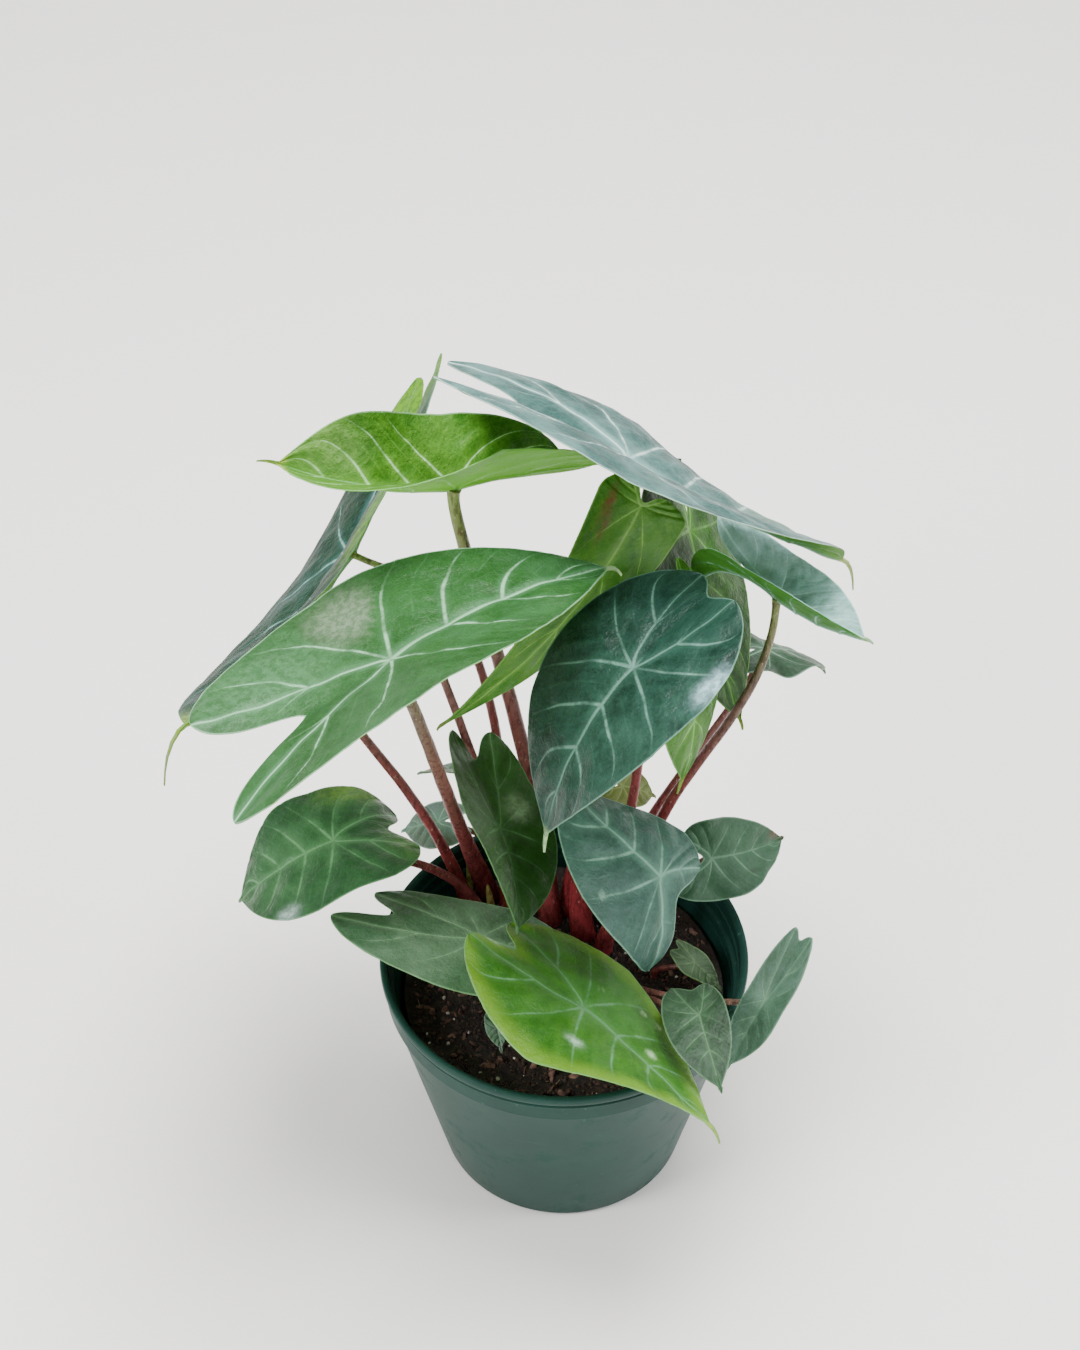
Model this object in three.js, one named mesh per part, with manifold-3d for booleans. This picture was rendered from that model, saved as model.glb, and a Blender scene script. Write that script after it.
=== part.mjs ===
import * as THREE from 'three';
import { mergeVertices } from 'three/addons/utils/BufferGeometryUtils.js';
import Module from 'manifold-3d';

// Potted arrow-leaved house plant. Millimetres, +Z up.
// The origin lies on the pot's axis, on the plane it stands on.

const potHeight = 121;
const potBaseRadius = 56;
const potRimRadius = 82.5;
const potWall = 1.8;
const potFloor = 2.4;
const potBandHeight = 17;
const potBandStep = 1.6;
const drainHoles = 6;
const drainRadius = 5;
const drainCircle = 38;
const soilLevel = 98;
const fitGap = 0.3;
const bladeThickness = 0.8;
const holeDepth = 14;

const wasm = await Module();
wasm.setup();

const rad = THREE.MathUtils.degToRad;

// The closed mesh of a three.js geometry as a solid that can be joined and cut.
function toSolid(geometry) {
  const bare = geometry.clone();
  bare.deleteAttribute('normal');
  bare.deleteAttribute('uv');
  const merged = mergeVertices(bare);
  const corners = merged.index.array;
  const kept = [];
  for (let i = 0; i < corners.length; i += 3) {
    const [a, b, c] = [corners[i], corners[i + 1], corners[i + 2]];
    if (a !== b && b !== c && a !== c) kept.push(a, b, c);
  }
  return new wasm.Manifold(new wasm.Mesh({
    numProp: 3,
    vertProperties: merged.attributes.position.array,
    triVerts: new Uint32Array(kept),
  }));
}

function toGeometry(solid) {
  const mesh = solid.getMesh();
  const positions = [];
  for (let i = 0; i < mesh.vertProperties.length; i += mesh.numProp) {
    positions.push(mesh.vertProperties[i], mesh.vertProperties[i + 1], mesh.vertProperties[i + 2]);
  }
  const geometry = new THREE.BufferGeometry();
  geometry.setAttribute('position', new THREE.Float32BufferAttribute(positions, 3));
  geometry.setIndex(Array.from(mesh.triVerts));
  geometry.computeVertexNormals();
  return geometry;
}

function shellGeometry(positions, indices) {
  const geometry = new THREE.BufferGeometry();
  geometry.setAttribute('position', new THREE.Float32BufferAttribute(positions.flat(), 3));
  geometry.setIndex(indices.flat());
  geometry.computeVertexNormals();
  return geometry;
}

// A closed profile of [radius, height] points, outside upwards first, turned about Z.
function turned(profile, segments) {
  const points = [...profile, profile[0]].map(([radius, height]) => new THREE.Vector2(radius, height));
  return toSolid(new THREE.LatheGeometry(points, segments).rotateX(Math.PI / 2));
}

function plug(x, y, bottom, top, radius, sides) {
  const geometry = new THREE.CylinderGeometry(radius, radius, top - bottom, sides);
  geometry.rotateX(Math.PI / 2).translate(x, y, (bottom + top) / 2);
  return toSolid(geometry);
}

// One entry a leaf, in the order of height and place. Lengths in mm, angles in degrees.
// at: where the stalk meets the blade; heading, pitch, roll: how the blade lies;
// front, lobes, half: length to the tip, of the lobes, and half the width;
// drip, hook: length of the fine point past the tip, and how it turns down;
// droop, hang: how far tip and lobes bend down; fold: how far each half is raised.
const leaves = [
  // boat-shaped, top left
  {
    name: '01', tone: 'bright', at: [-45.6, 71, 331],
    heading: -151, pitch: 14, roll: -8,
    front: 76, drip: 8, hook: 0.3, full: 6.9, lobes: 58, lobeSkew: 1,
    half: 37, halfSkew: 6, notch: 11, spread: 0.43,
    droop: -12, hang: 14, hangSkew: -6, sweep: -28, twist: -35,
    foldLeft: 62, foldRight: 38, cup: -0.4, wave: 0.6, ripples: 6,
    foot: [-6, 38], knee: [-12, 68, 201], neck: 0.08,
    footRadius: 4.2, topRadius: 2.4, clear: 0.45,
  },
  // topmost, seen edge-on
  {
    name: '02', tone: 'silver', at: [25.3, 66, 349.8],
    heading: -18, pitch: -26, roll: -12,
    front: 101, drip: 19, hook: 2.2, full: 4.1, lobes: 85, lobeSkew: 2,
    half: 54, halfSkew: 6, notch: 50, spread: 0.53,
    droop: 4, hang: 21, hangSkew: 4, sweep: 32, twist: -19,
    foldLeft: 0, foldRight: 33, cup: -9, wave: 0.6, ripples: 6,
    foot: [3, 44], knee: [16, 55, 198], neck: 0.15,
    footRadius: 4.4, topRadius: 2.4, clear: 0.45,
  },
  // largest, reaching left
  {
    name: '03', tone: 'green', at: [-68, -29, 328.7],
    heading: 38, pitch: 9, roll: -24,
    front: 107, drip: 9, hook: 0.7, full: 1.7, lobes: 84, lobeSkew: -6,
    half: 54, halfSkew: 0.8, notch: 41, spread: 0.4,
    droop: 27, hang: 2, hangSkew: -14, sweep: 8, twist: 23,
    foldLeft: 13, foldRight: 8, cup: 0.1, wave: 0.6, ripples: 6,
    foot: [-35, 55], knee: [-55, 37, 191], neck: 0.17,
    footRadius: 4.0, topRadius: 2.2, clear: 0.45,
  },
  // hanging to the front
  {
    name: '04', tone: 'dark', at: [26, -12, 307.8],
    heading: -141, pitch: -26, roll: 11,
    front: 78, drip: 8, hook: 0.5, full: 2.3, lobes: 47, lobeSkew: -2,
    half: 44, halfSkew: 1.5, notch: 44, spread: 0.36,
    droop: 45, hang: 9, hangSkew: -11, sweep: 4, twist: 12,
    foldLeft: 7, foldRight: 7, cup: -3, wave: 0.6, ripples: 6,
    foot: [9, 29], knee: [-2, 67, 189], neck: 0.18,
    footRadius: 4.4, topRadius: 2.4, clear: 0.45,
  },
  // folded, far left
  {
    name: '05', tone: 'dark', at: [-93.4, 101, 268.9],
    heading: -118, pitch: -17, roll: 74,
    front: 121, drip: 26, hook: 1.6, full: 3.5, lobes: 101, lobeSkew: -1,
    half: 50, halfSkew: 0.1, notch: 76, spread: 0.32,
    droop: -12, hang: -10, hangSkew: -1, sweep: 40, twist: -10,
    foldLeft: 2, foldRight: 42, cup: -9, wave: 0.6, ripples: 6,
    foot: [-25, 59], knee: [-28, 95, 269], neck: 0.18,
    footRadius: 2.6, topRadius: 1.4, clear: 0.45,
  },
  // narrow, behind the third
  {
    name: '06', tone: 'bright', at: [30.4, 57, 332.1],
    heading: -129, pitch: -46, roll: -65,
    front: 120, drip: 3, hook: 0.8, full: 2.2, lobes: 9, lobeSkew: -2,
    half: 24, halfSkew: 2, notch: 2, spread: 0.44,
    droop: 22, hang: 18, hangSkew: -1, sweep: -25, twist: -28,
    foldLeft: -4, foldRight: -2, cup: -1.9, wave: 1.5, ripples: 6,
    foot: [4, 54], knee: [26, 63, 183], neck: 0.17,
    footRadius: 3.8, topRadius: 2.0, clear: 0.45,
  },
  // hanging, right of the middle
  {
    name: '07', tone: 'bright', at: [54.5, 106, 277.8],
    heading: -81, pitch: -29, roll: -41,
    front: 84, drip: 4, hook: 0.5, full: 2.6, lobes: 32, lobeSkew: 1,
    half: 39, halfSkew: 0, notch: 7, spread: 0.15,
    droop: 6, hang: -5, hangSkew: 14, sweep: 26, twist: 13,
    foldLeft: -8, foldRight: 13, cup: -1.9, wave: 0.6, ripples: 6,
    foot: [14, 48], knee: [44, 72, 170], neck: 0.18,
    footRadius: 3.6, topRadius: 1.9, clear: 0.45,
  },
  // hanging behind the fourth
  {
    name: '08', tone: 'bright', at: [52.6, 34, 271],
    heading: -67, pitch: -61, roll: -31,
    front: 60, drip: 7, hook: 0.4, full: 2.3, lobes: 40, lobeSkew: 0,
    half: 27, halfSkew: -1.9, notch: 8, spread: 0.42,
    droop: 32, hang: 15, hangSkew: 0, sweep: -4, twist: 1,
    foldLeft: -7, foldRight: 1, cup: -3.1, wave: 0.6, ripples: 6,
    foot: [20, 38], knee: [33, 25, 166], neck: 0.17,
    footRadius: 3.0, topRadius: 1.6, clear: 0.45,
  },
  // young, near the middle
  {
    name: '09', tone: 'bright', at: [26.3, 50, 175.8],
    heading: 12, pitch: -25, roll: 25,
    front: 18.2, drip: 3, hook: 0.3, full: 2.6, lobes: 12.4, lobeSkew: 0,
    half: 9.8, halfSkew: -0.3, notch: 2.6, spread: 0.42,
    droop: 25, hang: 15, hangSkew: 0, sweep: 0, twist: 3,
    foldLeft: 14, foldRight: 10, cup: -2, wave: 0.6, ripples: 6,
    foot: [27, 46], knee: [27, 47, 128], neck: 0.18,
    footRadius: 2.0, topRadius: 1.2, clear: 0.45,
  },
  // folded, far right
  {
    name: '10', tone: 'silver', at: [87.3, 45, 293.6],
    heading: -62, pitch: 13, roll: -8,
    front: 57, drip: 4, hook: 0.3, full: 2.3, lobes: 58, lobeSkew: 5,
    half: 25, halfSkew: -1.7, notch: 12, spread: 0.35,
    droop: -12, hang: 16, hangSkew: -31, sweep: 12, twist: -2,
    foldLeft: 15, foldRight: 47, cup: -1.1, wave: 0.6, ripples: 6,
    foot: [33, 50], knee: [40, 47, 194], neck: 0.31,
    footRadius: 3.2, topRadius: 1.6, clear: 0.45,
  },
  // small, right
  {
    name: '11', tone: 'dark', at: [90, 96, 217],
    heading: 30, pitch: -22, roll: -7,
    front: 44, drip: 4, hook: 0.3, full: 2.2, lobes: 31, lobeSkew: -1,
    half: 20, halfSkew: -1.4, notch: 6, spread: 0.41,
    droop: 36, hang: 14, hangSkew: 0, sweep: 2, twist: -10,
    foldLeft: -6, foldRight: 0, cup: -2.7, wave: 2.2, ripples: 9,
    foot: [24, 56], knee: [35, 63, 149], neck: 0.18,
    footRadius: 2.4, topRadius: 1.3, clear: 0.45,
  },
  // low, left
  {
    name: '12', tone: 'dark', at: [-102, 25, 167.5],
    heading: -156, pitch: -8, roll: 1,
    front: 53, drip: 2, hook: 0.3, full: 3.1, lobes: 37, lobeSkew: -1,
    half: 34, halfSkew: 1.1, notch: 27, spread: 0.39,
    droop: 52, hang: 48, hangSkew: -6, sweep: -19, twist: -8,
    foldLeft: 7, foldRight: 2, cup: -2.1, wave: 1.2, ripples: 7,
    foot: [-37, 40], knee: [-52, 47, 143], neck: 0.16,
    footRadius: 2.4, topRadius: 1.5, clear: 1.1,
  },
  // young, behind the twelfth
  {
    name: '13', tone: 'dark', at: [-57.9, 70, 131],
    heading: 163, pitch: -26, roll: -28,
    front: 22.9, drip: 3, hook: 0.3, full: 1.8, lobes: 16.5, lobeSkew: 1,
    half: 11.7, halfSkew: 1.8, notch: 3.4, spread: 0.42,
    droop: 25, hang: 16, hangSkew: 0, sweep: 0, twist: 0,
    foldLeft: 5, foldRight: 10, cup: -2.1, wave: 0.6, ripples: 6,
    foot: [-28, 48], knee: [-23, 61, 141], neck: 0.16,
    footRadius: 1.8, topRadius: 1.2, clear: 0.45,
  },
  // hanging over the crown
  {
    name: '14', tone: 'dark', at: [-28, 15, 185.9],
    heading: -69, pitch: -15, roll: -33,
    front: 47, drip: 2, hook: 0.3, full: 2.7, lobes: 48, lobeSkew: 0,
    half: 25, halfSkew: 0.8, notch: 35, spread: 0.43,
    droop: 25, hang: -6, hangSkew: -1, sweep: -7, twist: -14,
    foldLeft: 16, foldRight: 17, cup: -1.9, wave: 0.6, ripples: 6,
    foot: [-12, 50], knee: [-15, 44, 134], neck: 0.18,
    footRadius: 3.0, topRadius: 1.8, clear: 0.45,
  },
  // low, over the left rim
  {
    name: '15', tone: 'green', at: [-37.1, -8, 139.9],
    heading: -20, pitch: 1, roll: -7,
    front: 50, drip: 7, hook: 0.3, full: 2.6, lobes: 60, lobeSkew: -5,
    half: 30, halfSkew: -2.7, notch: 41, spread: 0.44,
    droop: 10, hang: -3, hangSkew: 4, sweep: 9, twist: 5,
    foldLeft: -6, foldRight: 1, cup: -4.4, wave: 0.6, ripples: 6,
    foot: [-8, 26], knee: [-13, 20, 119], neck: 0.18,
    footRadius: 2.8, topRadius: 1.7, clear: 0.45,
  },
  // low, over the front rim
  {
    name: '16', tone: 'bright', at: [8, -52, 146.3],
    heading: -39, pitch: -16, roll: -13,
    front: 75, drip: 8, hook: 0.9, full: 1.6, lobes: 54, lobeSkew: -2,
    half: 43, halfSkew: -2.1, notch: 39, spread: 0.36,
    droop: -10, hang: 4, hangSkew: 10, sweep: -16, twist: -16,
    foldLeft: -1, foldRight: 12, cup: -7.6, wave: 0.6, ripples: 6,
    foot: [4, 18], knee: [5, 6, 125], neck: 0.18,
    footRadius: 3.4, topRadius: 2.0, clear: 0.45,
  },
  // low, right of the middle
  {
    name: '17', tone: 'dark', at: [41.3, -6, 178.3],
    heading: 152, pitch: 35, roll: 2,
    front: 63, drip: 2, hook: 0.3, full: 2.4, lobes: 25, lobeSkew: 9,
    half: 37, halfSkew: 2, notch: 12, spread: 0.7,
    droop: 24, hang: 36, hangSkew: 12, sweep: -20, twist: 18,
    foldLeft: -4, foldRight: -7, cup: -4.6, wave: 0.6, ripples: 6,
    foot: [18, 21], knee: [22, 16, 131], neck: 0.18,
    footRadius: 3.6, topRadius: 1.9, clear: 1.1,
  },
  // crumpled, over the right rim
  {
    name: '18', tone: 'dark', at: [66.2, 30, 150.2],
    heading: 17, pitch: -8, roll: 49,
    front: 42, drip: 2, hook: 0.3, full: 2.2, lobes: 17, lobeSkew: -4,
    half: 19, halfSkew: -0.5, notch: 4, spread: 0.58,
    droop: 34, hang: 15, hangSkew: 0, sweep: 10, twist: -4,
    foldLeft: 12, foldRight: 14, cup: -2.1, wave: 2.3, ripples: 9,
    foot: [30, 26], knee: [36, 27, 121], neck: 0.18,
    footRadius: 2.6, topRadius: 1.5, clear: 0.45,
  },
  // small, right front
  {
    name: '19', tone: 'silver', at: [57, -54, 144.1],
    heading: -79, pitch: -5, roll: 9,
    front: 35.3, drip: 2, hook: 0.3, full: 2.5, lobes: 18, lobeSkew: 0,
    half: 14, halfSkew: -1.9, notch: 15, spread: 0.5,
    droop: 18, hang: 28, hangSkew: 1, sweep: 2, twist: -2,
    foldLeft: 0, foldRight: 5, cup: -2.1, wave: 0.8, ripples: 6,
    foot: [27, -6], knee: [34, -22, 122], neck: 0.13,
    footRadius: 1.7, topRadius: 1.2, clear: 0.45,
  },
  // small, upright, right front
  {
    name: '20', tone: 'silver', at: [86.6, -38, 133.8],
    heading: -131, pitch: -39, roll: 5,
    front: 32.9, drip: 2, hook: 0.3, full: 2.7, lobes: 34.1, lobeSkew: 0,
    half: 11.5, halfSkew: 1.9, notch: 30, spread: 0.45,
    droop: 11, hang: -4, hangSkew: -1, sweep: -2, twist: -4,
    foldLeft: 20, foldRight: 10, cup: -1.8, wave: 0.6, ripples: 6,
    foot: [22, 8], knee: [24, -37, 129], neck: 0.12,
    footRadius: 1.8, topRadius: 1.3, clear: 0.45,
  },
  // torn, inside the pot
  {
    name: '21', tone: 'silver', at: [58.9, 2, 111.7],
    heading: -43, pitch: -14, roll: 3,
    front: 15.7, drip: 2, hook: 0.3, full: 2.3, lobes: 12.5, lobeSkew: 1,
    half: 7.2, halfSkew: -1.3, notch: 10, spread: 0.43,
    droop: 19, hang: 14, hangSkew: 0, sweep: 2, twist: 0,
    foldLeft: 12, foldRight: 12, cup: -2, wave: 0.8, ripples: 6,
    foot: [41, 6], knee: [44, 5, 106], neck: 0.18,
    footRadius: 1.5, topRadius: 1.0, clear: 0.45,
  },
  // youngest, under the sixteenth
  {
    name: '22', tone: 'dark', at: [-29.6, -36, 112.2],
    heading: -76, pitch: -13, roll: -4,
    front: 9.5, drip: 2, hook: 0.3, full: 2.4, lobes: 6.9, lobeSkew: -2,
    half: 4.6, halfSkew: -0.8, notch: 1.5, spread: 0.42,
    droop: 24, hang: 15, hangSkew: 0, sweep: -1, twist: 0,
    foldLeft: 12, foldRight: 12, cup: -2, wave: 0.6, ripples: 6,
    foot: [-29, 0], knee: [-29, -6, 110], neck: 0.18,
    footRadius: 1.4, topRadius: 0.9, clear: 0.45,
  },
  // young, behind the fourteenth
  {
    name: '23', tone: 'dark', at: [-38.6, 63, 171.4],
    heading: 150, pitch: -17, roll: 21,
    front: 33.6, drip: 3, hook: 0.3, full: 2.4, lobes: 17, lobeSkew: 0,
    half: 12, halfSkew: 0.3, notch: 4.6, spread: 0.42,
    droop: 18, hang: 15, hangSkew: 0, sweep: -3, twist: 2,
    foldLeft: 13, foldRight: 8, cup: -2, wave: 0.6, ripples: 6,
    foot: [-18, 60], knee: [-21, 60, 126], neck: 0.18,
    footRadius: 1.6, topRadius: 1.1, clear: 0.45,
  },
  // behind the third, left
  {
    name: '24', tone: 'dark', at: [-99.1, 52, 233.4],
    heading: 140, pitch: 0, roll: 0,
    front: 36, drip: 5, hook: 0.3, full: 2.4, lobes: 20, lobeSkew: 0,
    half: 17, halfSkew: 0, notch: 5, spread: 0.42,
    droop: 20, hang: 10, hangSkew: 0, sweep: 0, twist: 0,
    foldLeft: 12, foldRight: 12, cup: -2, wave: 0.6, ripples: 6,
    foot: [-44, 45], knee: [-58, 53, 167], neck: 0.13,
    footRadius: 2.8, topRadius: 1.8, clear: 0.45,
  },
  // behind the third, middle
  {
    name: '25', tone: 'green', at: [-57.1, 64, 251.6],
    heading: 85, pitch: -5, roll: 0,
    front: 24, drip: 3, hook: 0.3, full: 2.4, lobes: 16, lobeSkew: 0,
    half: 15, halfSkew: 0, notch: 4, spread: 0.42,
    droop: 20, hang: 30, hangSkew: 0, sweep: 0, twist: 0,
    foldLeft: 12, foldRight: 12, cup: -2, wave: 0.6, ripples: 6,
    foot: [-30, 41], knee: [-8, 29, 113], neck: 0.08,
    footRadius: 2.8, topRadius: 1.7, clear: 0.45,
  },
];

// Half width of the blade in front of the stalk, as a share of its widest half.
function taper(t, full) {
  return Math.pow(1 - Math.pow(t, full), 1.1);
}

// A point of the flat blade (x towards the tip, y to the left) on the bent blade.
// The drip past the tip hangs down.
function bent(leaf, x, y) {
  if (x > leaf.front + 1e-6) {
    const over = x - leaf.front;
    const course = bent(leaf, leaf.front, 0).sub(bent(leaf, leaf.front - 1, 0)).normalize();
    course.z -= (leaf.hook * over) / leaf.drip;
    return bent(leaf, leaf.front, y).addScaledVector(course.normalize(), over);
  }
  const side = y < 0 ? -1 : 1;
  const off = Math.abs(y);
  const ahead = x >= 0;
  const length = ahead ? leaf.front : leaf.lobes;
  const t = Math.abs(x) / length;
  const skew = side * Math.min(off / (leaf.spread * leaf.half), 1);
  const total = rad(ahead ? leaf.droop : leaf.hang + leaf.hangSkew * skew) || 1e-4;
  const run = (Math.sin(total * t) / total) * length;
  const fall = ((1 - Math.cos(total * t)) / total) * length;
  const slope = ahead ? -total * t : total * t;
  const turn = ahead ? rad(leaf.sweep) * t : 0;
  const drift = ahead ? ((1 - Math.cos(turn)) / (rad(leaf.sweep) || 1e-4)) * length : 0;
  const fold = rad(side > 0 ? leaf.foldLeft : leaf.foldRight);
  const cup = leaf.cup / 1000 || 1e-6;
  const across = (side * (Math.sin(fold + cup * off) - Math.sin(fold))) / cup;
  let rise = (Math.cos(fold) - Math.cos(fold + cup * off)) / cup;
  const edge = Math.pow(off / leaf.half, 2);
  rise += leaf.wave * edge * Math.sin((x / leaf.front) * leaf.ripples + side * 1.3);
  const twist = ahead ? rad(leaf.twist) * t : 0;
  const lateral = across * Math.cos(twist) - rise * Math.sin(twist);
  const normal = across * Math.sin(twist) + rise * Math.cos(twist);
  const along = new THREE.Vector3(Math.cos(slope) * Math.cos(turn), Math.sin(turn), Math.sin(slope));
  const beside = new THREE.Vector3(-Math.sin(turn), Math.cos(turn), 0);
  const above = along.clone().cross(beside).normalize();
  const local = new THREE.Vector3(ahead ? run : -run, drift, -fall);
  local.addScaledVector(beside, lateral);
  local.addScaledVector(above, normal);
  return placed(leaf, local);
}

// Blade axes: along the midrib, to the left, and out of the upper face.
function axes(leaf) {
  const heading = rad(leaf.heading);
  const pitch = rad(leaf.pitch);
  const roll = rad(leaf.roll);
  const along = new THREE.Vector3(
    Math.cos(pitch) * Math.cos(heading),
    Math.cos(pitch) * Math.sin(heading),
    Math.sin(pitch),
  );
  const level = new THREE.Vector3(-Math.sin(heading), Math.cos(heading), 0);
  const up = along.clone().cross(level);
  const left = level.clone().multiplyScalar(Math.cos(roll)).addScaledVector(up, Math.sin(roll));
  const out = up.clone().multiplyScalar(Math.cos(roll)).addScaledVector(level, -Math.sin(roll));
  return { along, left, out };
}

function placed(leaf, local) {
  const { along, left, out } = axes(leaf);
  return new THREE.Vector3(...leaf.at)
    .addScaledVector(along, local.x)
    .addScaledVector(left, local.y)
    .addScaledVector(out, local.z);
}

// How far off the midline the lobe's inner margin lies, as a share of its rib: 1 at both ends,
// less between, so that the lobe ends round.
function roundedIn(t) {
  return 1 - 0.5 * Math.pow(t, 0.3) * Math.sqrt(Math.max(1 - t * t, 0));
}

// The flat blade as rows of points from a rib out to the margin.
function flatBlade(leaf, rows) {
  const points = [];
  const triangles = [];
  const known = new Map();
  const pointAt = (x, y) => {
    const key = `${x.toFixed(4)},${Math.abs(y) < 1e-6 ? 0 : y.toFixed(4)}`;
    if (!known.has(key)) {
      known.set(key, points.length);
      points.push([x, y]);
    }
    return known.get(key);
  };
  const strip = (ribs, margins, steps, flip) => {
    const grid = ribs.map(([rx, ry], k) => {
      const row = [];
      for (let j = 0; j <= steps; j += 1) {
        const u = j / steps;
        row.push(pointAt(rx + (margins[k][0] - rx) * u, ry + (margins[k][1] - ry) * u));
      }
      return row;
    });
    for (let k = 0; k + 1 < grid.length; k += 1) {
      for (let j = 0; j < steps; j += 1) {
        const [a, b, c, d] = [grid[k][j], grid[k][j + 1], grid[k + 1][j + 1], grid[k + 1][j]];
        for (const tri of [[a, b, c], [a, c, d]]) {
          if (tri[0] === tri[1] || tri[1] === tri[2] || tri[0] === tri[2]) continue;
          triangles.push(flip ? [tri[0], tri[2], tri[1]] : tri);
        }
      }
    }
  };
  for (const side of [1, -1]) {
    const half = leaf.half + side * leaf.halfSkew;
    const lobes = leaf.lobes + side * leaf.lobeSkew;
    const notch = Math.min(leaf.notch, 0.93 * (leaf.lobes - Math.abs(leaf.lobeSkew)));
    const ribs = [[leaf.front + leaf.drip, 0], [leaf.front + leaf.drip / 2, 0]];
    const margins = [[leaf.front + leaf.drip, side * 0.4], [leaf.front + leaf.drip / 2, side * 0.7]];
    for (let k = 0; k <= rows.front; k += 1) {
      const t = 1 - Math.pow(k / rows.front, 1.3);
      const width = Math.max(half * taper(t, leaf.full), Math.min(Math.max((t - 0.8) * 5, 0), 1));
      ribs.push([leaf.front * t, 0]);
      margins.push([leaf.front * t, side * width]);
    }
    strip(ribs, margins, rows.across, side < 0);
    const lobeRibs = [];
    const outer = [];
    const inner = [];
    for (let k = 0; k <= rows.back; k += 1) {
      const t = Math.sin((Math.PI / 2) * (k / rows.back));
      const width = leaf.spread + (1 - leaf.spread) * Math.pow(Math.max(1 - t * t, 0), 0.6);
      const rib = side * leaf.spread * half * Math.pow(t, 0.7);
      lobeRibs.push([-lobes * t, rib]);
      outer.push([-lobes * t, side * half * width]);
      inner.push([-(notch + (lobes - notch) * t), rib * roundedIn(t)]);
    }
    strip(lobeRibs, outer, rows.across, side < 0);
    strip(lobeRibs, inner, 1, side > 0);
  }
  return { points, triangles };
}

function bladeGeometry(leaf) {
  const rows = leaf.half > 22 ? { front: 8, back: 5, across: 3 } : { front: 6, back: 4, across: 2 };
  const { points, triangles } = flatBlade(leaf, rows);
  const upper = points.map(([x, y]) => bent(leaf, x, y));
  const normals = upper.map(() => new THREE.Vector3());
  for (const [a, b, c] of triangles) {
    const ab = upper[b].clone().sub(upper[a]);
    const ac = upper[c].clone().sub(upper[a]);
    const face = ab.cross(ac);
    normals[a].add(face);
    normals[b].add(face);
    normals[c].add(face);
  }
  const count = upper.length;
  const positions = upper.map((p) => p.toArray());
  upper.forEach((p, i) => {
    positions.push(p.clone().addScaledVector(normals[i].normalize(), -bladeThickness).toArray());
  });
  const indices = [];
  const edges = new Map();
  for (const [a, b, c] of triangles) {
    indices.push([a, b, c], [a + count, c + count, b + count]);
    for (const [p, q] of [[a, b], [b, c], [c, a]]) {
      const back = `${q},${p}`;
      if (edges.has(back)) edges.delete(back);
      else edges.set(`${p},${q}`, [p, q]);
    }
  }
  for (const [p, q] of edges.values()) {
    indices.push([q, p, p + count], [q, p + count, q + count]);
  }
  return shellGeometry(positions, indices);
}

// A stalk stands upright in the soil and bows over to meet the blade from below.
function stalkGeometry(leaf) {
  const [footX, footY] = leaf.foot;
  const { out } = axes(leaf);
  const end = new THREE.Vector3(...leaf.at).addScaledVector(out, -(bladeThickness + leaf.clear));
  const start = new THREE.Vector3(footX, footY, soilLevel + 2);
  const reach = end.distanceTo(start);
  const low = new THREE.Vector3(...leaf.knee);
  const high = end.clone().addScaledVector(out, -leaf.neck * reach);
  const curve = new THREE.CubicBezierCurve3(start, low, high, end);
  const steps = reach > 90 ? 9 : 6;
  const path = [new THREE.Vector3(footX, footY, soilLevel - holeDepth + fitGap), start];
  for (let i = 1; i <= steps; i += 1) path.push(curve.getPoint(i / steps));
  const sides = 7;
  const positions = [];
  const indices = [];
  let across = new THREE.Vector3(1, 0, 0);
  const total = path.length - 1;
  path.forEach((point, i) => {
    const ahead = path[Math.min(i + 1, total)].clone().sub(path[Math.max(i - 1, 0)]);
    if (i <= 1) ahead.set(0, 0, 1);
    if (i === total) ahead.copy(out);
    ahead.normalize();
    across = across.clone().addScaledVector(ahead, -across.dot(ahead)).normalize();
    const beside = ahead.clone().cross(across);
    const share = Math.max(i - 1, 0) / (total - 1);
    const radius = leaf.footRadius + (leaf.topRadius - leaf.footRadius) * Math.pow(share, 0.6);
    for (let k = 0; k < sides; k += 1) {
      const angle = (2 * Math.PI * k) / sides;
      const spot = point.clone().addScaledVector(across, radius * Math.cos(angle));
      spot.addScaledVector(beside, radius * Math.sin(angle));
      positions.push(spot.toArray());
    }
  });
  for (let i = 0; i < total; i += 1) {
    for (let k = 0; k < sides; k += 1) {
      const j = (k + 1) % sides;
      const [a, b] = [i * sides + k, i * sides + j];
      indices.push([a, b, b + sides], [a, b + sides, a + sides]);
    }
  }
  for (let k = 1; k + 1 < sides; k += 1) {
    indices.push([0, k + 1, k]);
    indices.push([total * sides, total * sides + k, total * sides + k + 1]);
  }
  return shellGeometry(positions, indices);
}

const bandBottom = potHeight - potBandHeight;
const bandRadius = potRimRadius - 2;
const wallTop = bandRadius - potBandStep;
const bodyRadius = (z) => potBaseRadius + ((wallTop - potBaseRadius) * z) / bandBottom;

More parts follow.
